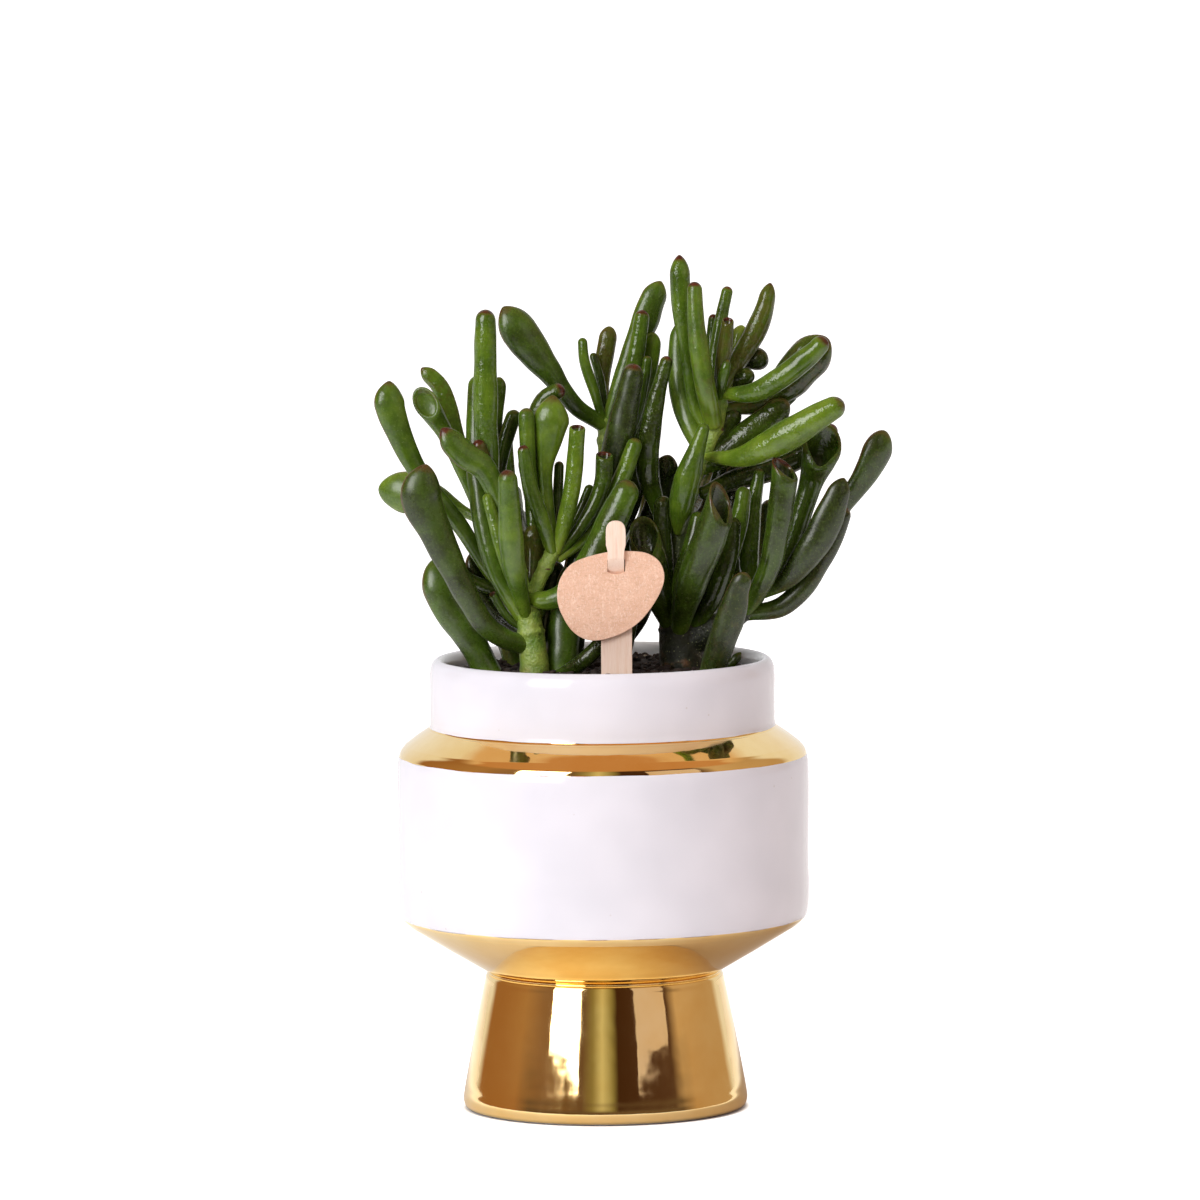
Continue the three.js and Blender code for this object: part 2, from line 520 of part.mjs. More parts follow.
// What is left of a solid outside its neighbours' swollen shapes, as one body.
function carved(solid, neighbours) {
  let rest = solid;
  for (const { swollen } of neighbours) {
    if (!boxesMeet(rest, swollen, 0)) continue;
    if (rest.intersect(swollen).volume() < 1e-6) continue;
    rest = rest.subtract(swollen);
  }
  const bodies = rest.decompose();
  return bodies.reduce((largest, body) => (body.volume() > largest.volume() ? body : largest));
}

const plant = new THREE.Group();
const placed = [];

function addPiece(name, solid, swollen, finish) {
  placed.push({ name, solid, swollen });
  plant.add(meshOf(name, solid, finish));
}

function addStem(name, limbs, color) {
  addPiece(name, stemSolid(limbs), stemSolid(limbs, GAP), { color, roughness: 0.55, metalness: 0 });
}

function addLeaves(leaves, color) {
  for (const shape of leaves) {
    const solid = carved(leafSolid(shape), placed);
    addPiece(shape.name, solid, leafSolid(shape, GAP), { color, roughness: 0.3, metalness: 0 });
  }
}

const stake = stakeSolid();
const roomTall = SHANK_TOP - STAKE_BOTTOM + 2;
const stakeRoom = new THREE.BoxGeometry(SHANK_WIDTH + 2 * GAP, STAKE_THICKNESS + 2 * GAP, roomTall);
stakeRoom.translate(STAKE_X, SHANK_Y, STAKE_BOTTOM - 1 + roomTall / 2);

addPiece("label_stake", stake, solidOf(stakeRoom), { color: COLOUR.wood, roughness: 0.7, metalness: 0 });
addStem("left_stem", LEFT_STEM, COLOUR.leftStem);
addStem("middle_stem", MIDDLE_STEM, COLOUR.darkStem);
addStem("right_stem", RIGHT_STEM, COLOUR.darkStem);
addLeaves(LEFT_LEAVES, COLOUR.leftLeaf);
addLeaves(MIDDLE_LEAVES, COLOUR.middleLeaf);
addLeaves(RIGHT_LEAVES, COLOUR.rightLeaf);
addLeaves(BACK_LEAVES, COLOUR.middleLeaf);

const soil = carved(soilSolid(), placed);
plant.add(meshOf("soil", soil, { color: COLOUR.soil, roughness: 1, metalness: 0 }));
plant.add(meshOf("label_board", labelSolid(), { color: COLOUR.board, roughness: 0.85, metalness: 0 }));
plant.add(meshOf("nursery_pot", nurseryPotSolid(), { color: COLOUR.plastic, roughness: 0.6, metalness: 0 }));
plant.add(meshOf("cover_pot", coverPotSolid(), { color: COLOUR.ceramic, roughness: 0.12, metalness: 0 }));

export default plant;
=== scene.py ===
"""A hobbit jade in its grower's pot, standing in a white and gold footed cover pot.

Blender works in metres. The tables below are in millimetres and are scaled by MM as they are used.
The origin is the centre of the pot's underside, +Z is up, and the front looks along -Y.
"""

import math
import random
from types import SimpleNamespace

import bmesh
import bpy
import numpy as np
from mathutils import Matrix, Vector, noise
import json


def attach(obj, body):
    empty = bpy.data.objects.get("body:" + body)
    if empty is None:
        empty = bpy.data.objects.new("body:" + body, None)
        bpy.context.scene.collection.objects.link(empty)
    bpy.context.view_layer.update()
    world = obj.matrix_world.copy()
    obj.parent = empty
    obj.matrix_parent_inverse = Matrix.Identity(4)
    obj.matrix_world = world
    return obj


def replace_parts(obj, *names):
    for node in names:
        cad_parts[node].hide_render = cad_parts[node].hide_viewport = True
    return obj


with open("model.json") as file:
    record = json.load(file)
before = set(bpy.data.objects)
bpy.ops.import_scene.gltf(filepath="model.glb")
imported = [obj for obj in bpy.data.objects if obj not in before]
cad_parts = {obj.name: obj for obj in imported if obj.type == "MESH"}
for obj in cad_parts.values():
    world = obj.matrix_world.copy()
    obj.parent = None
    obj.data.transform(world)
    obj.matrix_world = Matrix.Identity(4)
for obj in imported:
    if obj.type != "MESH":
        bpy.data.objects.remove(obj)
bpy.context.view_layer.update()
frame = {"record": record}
MM = 0.001

# The camera that fits the photograph. Angles are in degrees, the lens and its sensor in millimetres.
CAMERA_DISTANCE = 3.0
CAMERA_ELEVATION = 5.4
CAMERA_ROLL = 0.45
CAMERA_LENS = 295.2
CAMERA_SENSOR = 36
CAMERA_AIM = (-0.0005, 0.0, 0.1557)

# Cover pot: heights where the gold lustre meets the white glaze.
CONE_GOLD_TOP = 59.2
SHOULDER_GOLD_BOTTOM = 108.6
SHOULDER_GOLD_TOP = 117.4
POT_SIDES = 288

# Grower's pot and soil.
NURSERY_RIM_RADIUS = 45
NURSERY_BASE_RADIUS = 32.2
NURSERY_WALL = 1
NURSERY_BOTTOM = 44.9
NURSERY_TOP = 134.4
NURSERY_SIDES = 128
SOIL_TOP = 135
SOIL_EDGE = 133
SOIL_SIDES = 160
SOIL_RINGS = 44

# Stake and label.
STAKE_X = 4.4
STAKE_THICKNESS = 1.2
SHANK_WIDTH = 9.4
SHANK_Y = -27.1
STAKE_BOTTOM = 96
SHANK_TOP = 163
NECK_WIDTH = 5
HEAD_WIDTH = 6
HEAD_Y = -30.7
HEAD_TOP = 182.6
SLOT_HEIGHT = 168.2
STAKE_CUTS = 34
LABEL_THICKNESS = 1.6
LABEL_Y = -28.9

# Kinds of leaf. flat is thickness over width at the head, dome the length of the end over half the
# width there, and end the two powers that shape it: (2, 0.5) is round, and (1.7, 0.8) pointed.
FINGER = SimpleNamespace(flat=0.88, dome=1.1, end=(2, 0.5))
POINT = SimpleNamespace(flat=0.85, dome=1.9, end=(1.8, 0.7))
SPOON = SimpleNamespace(flat=0.62, dome=1.4, end=(2, 0.6))
BEAK = SimpleNamespace(flat=0.6, dome=1.5, end=(1.8, 0.72))
CUP = SimpleNamespace(flat=0.92, dome=0, end=None)
ROOT_FLAT = 0.92

LEAF_SIDES = 28
BODY_STATIONS = 42
DOME_STATIONS = 9
ROOT_STATIONS = 3
BOWL_STATIONS = 9
FRONT = np.array((0.0, -1.0, 0.0))


def leaf(name, kind, widths, *path, turn=0, tone=0.5, flush=0.5, blush=0, cut=(0, 0), depth=1.2, satin=0):
    """A leaf: its widths run from the stem to where the end rounds off, and its path from the stem to
    the tip. turn is how many degrees its flat side turns from the front. tone goes from dark to bright
    green; it is partly the leaf's own green and partly painted shade, low for leaves that sit in shade.
    flush is how red the end is, and blush how brown all of it is. A cup's mouth is cut at a slope that
    faces so many degrees to the right, and its depth is in half widths. satin goes from 0, wet and
    wrinkled skin, to 1, smooth and soft."""
    return SimpleNamespace(name=name + "_leaf", kind=kind, widths=widths, path=path, turn=turn, tone=tone,
                           flush=flush, blush=blush, cut=cut, depth=depth, satin=satin)


# Leaves that stand for the CAD leaf of the same name.
CAD_LEAVES = [
    leaf("left_big_spoon", BEAK, [6, 6.2, 6.8, 7.8, 8.8, 10.8, 12.6], (-23.8, -15, 143.8),
         (-28.5, -18, 145.4), (-35.3, -21, 150.4), (-42.6, -25, 163.5), (-50.2, -28, 180),
         (-54.2, -29.5, 190.4), (-52.6, -30.5, 200.2), turn=10, tone=0.26, flush=0.6, satin=1),
    leaf("left_low_spoon", SPOON, [8.4, 8.8, 11, 13.4], (-33, -11, 131), (-40.4, -10, 146),
         (-46.8, -9, 157.5), (-50.6, -8, 169.6), turn=20, tone=0.38, flush=0.1, satin=0.8),
    leaf("left_high_spoon", BEAK, [4.4, 4.6, 5, 5.4, 7, 9.4], (-24.5, -11.5, 158), (-31, -9, 162),
         (-43, -11, 180), (-55.6, -13, 197), (-61.2, -15, 209), (-63.8, -16, 217.4), (-63.8, -16, 224.4),
         turn=15, satin=0.6),
    leaf("left_far_disc", SPOON, [3, 3.2, 3.6, 9, 12.6], (-27.2, -6, 175), (-40, 2, 182), (-54, 5, 187.4),
         (-67.9, 7, 189.9), tone=0.62, flush=0.1, satin=0.8),
    leaf("left_trumpet", CUP, [3.4, 3.8, 4, 4.8, 7.2], (-25.5, -8.5, 167), (-33, -4, 176), (-42, -3, 195.6),
         (-47.6, -4, 208.1), (-52.7, -9, 216.8), tone=0.6, flush=0.3, cut=(1.25, 0), depth=0.5, satin=0.7),
    leaf("left_back_finger", BEAK, [3.6, 4.2, 4.6, 5.2, 6, 5], (-27, -6, 172), (-38, 1, 190), (-44, 3, 205),
         (-46.4, 3.6, 214.5), (-48.8, 4, 221), (-54.4, 4, 226.8), tone=0.62, flush=0.6, blush=0.2),
    leaf("left_beak", BEAK, [4, 4.8, 5.6, 6.8, 8.2, 7.8], (-26.8, -9.5, 173), (-28.6, -13, 181),
         (-31.9, -15.5, 190.5), (-35.5, -17.5, 197.9), (-42.5, -19.3, 203.3), (-48, -20.5, 210.2), turn=20,
         flush=0.9, satin=0.7),
    leaf("left_front_finger", FINGER, [2.4, 5, 7.2, 7.1, 5.8], (-22, -13.5, 148.5), (-24, -19, 157),
         (-26.6, -25.5, 170), (-28.2, -31, 198.2), tone=0.55, flush=0.7, satin=0.8),
    leaf("left_pale_finger", FINGER, [4.4, 6.2, 6.4, 5.6], (-24, -14.5, 151.5), (-32, -15.5, 166.5),
         (-36.8, -12, 188), (-37.8, -6, 209), (-37.2, -3, 224.7), tone=0.45, flush=0.2, satin=0.5),
    leaf("left_tall_finger", FINGER, [2.6, 5, 7.2, 7.4, 7, 6.2], (-28.3, -7.8, 180), (-32.5, -9.6, 190),
         (-34.4, -13, 204), (-34.7, -14.5, 222), (-34.4, -15.5, 245.7), tone=0.52, flush=0.7, satin=0.2),
    leaf("left_inner_finger", FINGER, [3.4, 4.2, 4.6, 4.6], (-28, -6.5, 181.5), (-31, -3, 194),
         (-28.6, -1, 205.5), (-25.6, 0, 214), tone=0.35, flush=0.4),
    leaf("fork_left_finger", FINGER, [3, 4, 4.8, 5], (-15.2, -14.2, 171.5), (-18.6, -11.5, 182),
         (-21.4, -11.5, 194), (-22.5, -12, 215.5), tone=0.55, satin=0.4),
    leaf("fork_front_finger", FINGER, [3.4, 4.6, 4.8, 4.4, 3.8], (-14.8, -16, 172), (-18.6, -18, 184),
         (-21.6, -19, 193), (-23.5, -20.5, 204.8), flush=0.8, satin=0.4),
    leaf("fork_big_spoon", BEAK, [3.4, 4, 4.2, 4.6, 7.4, 10.8], (-14.5, -14, 173), (-16.6, -10.5, 190),
         (-16.8, -10, 197.5), (-15.6, -10, 206), (-14.2, -10, 219.2), tone=0.63, flush=0.6, satin=0.5),
    leaf("fork_trumpet", CUP, [3.4, 5, 5.2, 4.8], (-13.8, -15.5, 172), (-11, -16, 181), (-8.6, -16.5, 192),
         (-6.9, -17.2, 209.4), tone=0.62, flush=1, cut=(0.35, 0)),
    leaf("fork_far_trumpet", CUP, [2.8, 4, 5, 5.4], (-13.2, -14.5, 171.5), (-7, -13, 178), (-2, -12, 186),
         (0.6, -12, 193), (1.2, -12.6, 200.6), tone=0.35, flush=1, cut=(0.35, 10)),
    leaf("label_curl", FINGER, [5, 7.2, 8.8, 9.2, 8.4], (-21, -15.5, 158), (-16, -18, 157.5),
         (-10, -19.5, 160.5), (-2.6, -20, 170), (3, -20.5, 181), (9.2, -21, 193.8), tone=0.42, satin=0.4),
    leaf("fork_bright_finger", FINGER, [3.4, 4.4, 5.2, 5.4, 4.8], (-12.9, -14, 170), (-5, -10, 176),
         (1.4, -9, 183), (6.4, -9, 193.5), (11, -9.6, 205.8), tone=0.55),
    leaf("left_dark_blade", SPOON, [4.6, 6, 7], (-22.5, -11.5, 146), (-31, -7, 151.5), (-36.6, -5, 160),
         (-39.4, -3.5, 171), turn=40, tone=0.1, flush=0.2, satin=0.5),
    leaf("top_left_spoon", BEAK, [4.6, 5.4, 6.4, 9.6, 12], (0.6, 11.5, 208.5), (-7.5, 8, 214.5),
         (-15.9, 5, 226), (-22.6, 3, 235), (-29.4, 2, 245.4), turn=15, tone=0.4, flush=0.6, satin=0.7),
    leaf("middle_olive", SPOON, [2.6, 4, 5.2, 5.6], (1.5, 13.4, 209), (0.7, 18, 222), (3.2, 20, 238),
         blush=0.42),
    leaf("middle_dark_finger", FINGER, [5.4, 9, 9.8, 8.8, 6.6], (3.4, 11.5, 172), (3, 1, 186),
         (5.2, -3, 202.2), (8.3, -5, 217.3), (10.6, -6.5, 228.2), tone=0.2, flush=0.7, satin=0.8),
    leaf("middle_back_spoon", BEAK, [4, 4.6, 5.2, 5.8, 6.6, 9, 7.8], (2, 12.5, 208), (5.4, 12.5, 219),
         (8.8, 12.5, 228), (11.4, 12.5, 234.6), (13.6, 12.5, 239), (15.9, 13, 245.5), (18.9, 13, 252.2),
         turn=10, satin=0.6),
    leaf("middle_slim_finger", FINGER, [3.8, 4.8, 5.4, 5.3, 4.6], (2.4, 10.8, 205), (8, 6.5, 218),
         (11.4, 5.5, 232), (13.2, 5, 243.8), flush=0.8),
    leaf("middle_right_finger", FINGER, [4.6, 6.8, 7, 5.4, 3.8], (17.6, 3, 182.5), (14.2, -1, 196),
         (16.4, -4, 214.2), (20.7, -5, 230.4), tone=0.25, flush=0.8),
    leaf("tallest", POINT, [3.4, 3.8, 3.9, 4.2, 5.7, 6.3], (33, 1, 206.5), (29, 1, 214), (26.8, 0, 227),
         (25.2, -1, 240), (24.4, -1, 261), flush=0.9),
    leaf("right_front_tall", FINGER, [5.4, 6.2, 6.3, 6, 5.2, 4.6], (34.6, -2.5, 209.5), (32.2, -7, 220),
         (29.5, -8.6, 238), (28.8, -8.6, 253.2), tone=0.56, flush=0.9, blush=0.14, satin=0.6),
    leaf("right_left_finger", POINT, [4.8, 7, 7, 5.6], (30.8, 0, 201), (27.4, 2.5, 209), (24.8, 6.5, 219),
         (24, 8.5, 229), (24.4, 9, 240), tone=0.56, flush=0.1, satin=0.7),
    leaf("right_top_finger", FINGER, [3.2, 4.2, 4.3, 4, 3.4], (35, 1, 219), (35.1, 3, 229), (37.3, 4.5, 242),
         (39.3, 5.6, 250.8), flush=0.8),
    leaf("right_top_lean", POINT, [3.6, 5.2, 6.4, 6.4, 5.4], (37.6, 0.6, 220), (42.4, 4, 228.5),
         (47, 5.4, 236), (49.9, 6, 242.6), (52.2, 6, 251.8), tone=0.45, flush=0.7, blush=0.3),
    leaf("right_arm_upper", FINGER, [3, 5, 6.4, 6.8, 6.6, 5.6], (36.6, -1, 218.4), (46.8, -6, 219.2),
         (53.4, -8.6, 222.8), (59.6, -10.2, 227.4), (65.6, -11.2, 232.6), (68.5, -11.6, 236), tone=0.52,
         flush=0.8),
    leaf("right_arm_back_spoon", SPOON, [3.4, 5, 8.4, 12, 12.2], (36.2, 1, 213.5), (48, 4, 215),
         (56, 4, 220.5), (62.5, 3.6, 227.6), (69.6, 3, 235), tone=0.3, blush=0.2),
    leaf("right_bright_arm", FINGER, [2.8, 4.8, 7.4, 9.2, 9.7, 8.6, 7], (32.6, -3, 199.4), (42.7, -11, 200),
         (53, -15.5, 204.8), (62.4, -18.5, 210.6), (68.6, -20, 214.3), (73.6, -21, 217.2), tone=0.63,
         flush=0.6),
    leaf("right_arm_dark", SPOON, [5, 9, 10, 8], (30, 1.4, 196), (38.5, 1, 200.5), (48.4, 0, 208),
         (57.2, -0.6, 216.2), tone=0.25, flush=0.4),
    leaf("right_big_trumpet", CUP, [4.4, 6, 6.4, 7.4, 12], (45.5, -2, 155.5), (55.5, -1, 167),
         (60.8, -0.6, 181), (64.6, -0.8, 193), (67.4, -6, 202.4), tone=0.38, flush=0.35, cut=(0.9, 8),
         depth=1.6, satin=0.4),
    leaf("right_slot_cup", CUP, [5, 6.4, 7.2, 7.8, 8.4], (43.6, -5, 153), (47.5, -9, 159),
         (51.3, -12.5, 167.5), (53.2, -15, 176.5), (55, -16.8, 189), (55.8, -17.6, 196.4), tone=0.32, flush=1,
         cut=(0.75, 55), depth=1.4, satin=0.5),
    leaf("right_broad_blade", BEAK, [3.6, 5, 8, 9.6, 9.4, 7.4], (48, -4, 157.5), (55.5, -7.4, 161.5),
         (61, -9.6, 168.1), (66.4, -11.4, 176), (70, -12.4, 183.6), (73.8, -13, 193.6), turn=10, tone=0.18,
         flush=0.3, satin=0.8),
    leaf("right_low_curved", FINGER, [4.6, 6, 6.6, 6.4, 5.6], (44.5, -3.6, 151.6), (54.5, -3.4, 153.4),
         (61.5, -3.2, 159.4), (66.4, -3, 166.8), (71.2, -3, 175.6), (74.2, -3, 184), tone=0.18, flush=0.7,
         blush=0.1, satin=0.8),
    leaf("right_far_spoon", SPOON, [3.6, 4.4, 5.4, 6.8, 9.8], (46.4, -0.8, 156.2), (61, 5, 168),
         (74.4, 4, 184.6), (81.6, 2.6, 194.8), (86.6, 1.6, 206.8), turn=25, tone=0.3, blush=0.1, satin=0.7),
    leaf("right_front_slot_cup", CUP, [5.4, 7.2, 9.4, 9.8, 9.6, 9.6], (23.6, -4.5, 147), (25.6, -12, 156.5),
         (28.6, -18, 166), (33, -22, 177), (36.2, -24, 186.6), tone=0.3, flush=0.7, cut=(1.2, 50), depth=1.8,
         satin=0.7),
    leaf("right_inner_blade", FINGER, [4.6, 6, 6.2, 5.4], (28.5, -3.4, 147), (34.8, -6.8, 159),
         (38.4, -8, 169.5), (40.4, -8.4, 181.4), tone=0.2, flush=0.2),
    leaf("right_soil_finger", SPOON, [7.4, 8, 8.6, 8.4, 6.4], (32, -15, 131), (36, -18, 143.5),
         (39.8, -21, 154.6), (41.4, -22.5, 160.5), (43.6, -24, 166), tone=0.17, flush=0.4, blush=0.12,
         satin=0.9),
    leaf("right_bright_finger", FINGER, [3.6, 7.2, 8.2, 6, 3.6], (23.4, -4, 177), (24.4, -9, 185),
         (26.4, -11.4, 194), (29, -12.6, 202), (31.9, -13, 210.4), flush=0.1, satin=0.3),
    leaf("right_shade_cup", CUP, [5.6, 8, 10.6, 11, 9.6], (20.5, -3, 149), (17.4, -7, 158), (14.8, -9, 167),
         (13.4, -10, 174.6), tone=0.25, flush=0.25, cut=(1.5, 0), depth=1.1),
    leaf("centre_soil", SPOON, [10, 10.2, 9.4], (-12.8, -9, 131), (-11.6, -8, 147), (-9.6, -7, 158),
         (-8, -6.5, 168), turn=10, tone=0.46, flush=0.1, satin=1),
    leaf("back_left_spoon", SPOON, [3.6, 4.2, 6.4, 9], (-25.8, -7.6, 168), (-31, 7, 180), (-34, 19, 193),
         (-34.5, 27, 206), tone=0.4),
    leaf("back_left_finger", FINGER, [4, 5.4, 5.8, 5], (-22.4, -11, 156), (-23, 6, 169), (-26, 19, 178),
         (-27, 31, 188), tone=0.4, flush=0.6),
    leaf("back_fork_finger", FINGER, [3.6, 5, 5.6, 4.8], (-20.6, -11, 150), (-17, 4, 158), (-18, 18, 168),
         (-19, 27, 184), tone=0.45, flush=0.6),
    leaf("back_middle_spoon", BEAK, [4, 4.6, 6.4, 9.6], (2.2, 13.6, 196), (7, 24, 200), (11, 33, 208),
         (12, 39, 218), tone=0.4),
    leaf("back_right_spoon", SPOON, [4.2, 5, 6.6, 10], (27.6, 1.6, 191), (32, 18, 197), (34, 32, 207),
         (34, 40, 219), tone=0.35),
    leaf("back_right_finger", FINGER, [4.4, 6, 6.6, 5.6], (24, 2.4, 166), (30, 17, 172), (34, 31, 180),
         (37, 41, 192), tone=0.35, flush=0.6),
    leaf("back_low_spoon", SPOON, [5, 6, 7.4, 9.4], (-20, -11, 145), (-24, 6, 150), (-28, 20, 156),
         (-31, 31, 166), tone=0.35, flush=0.4),
]
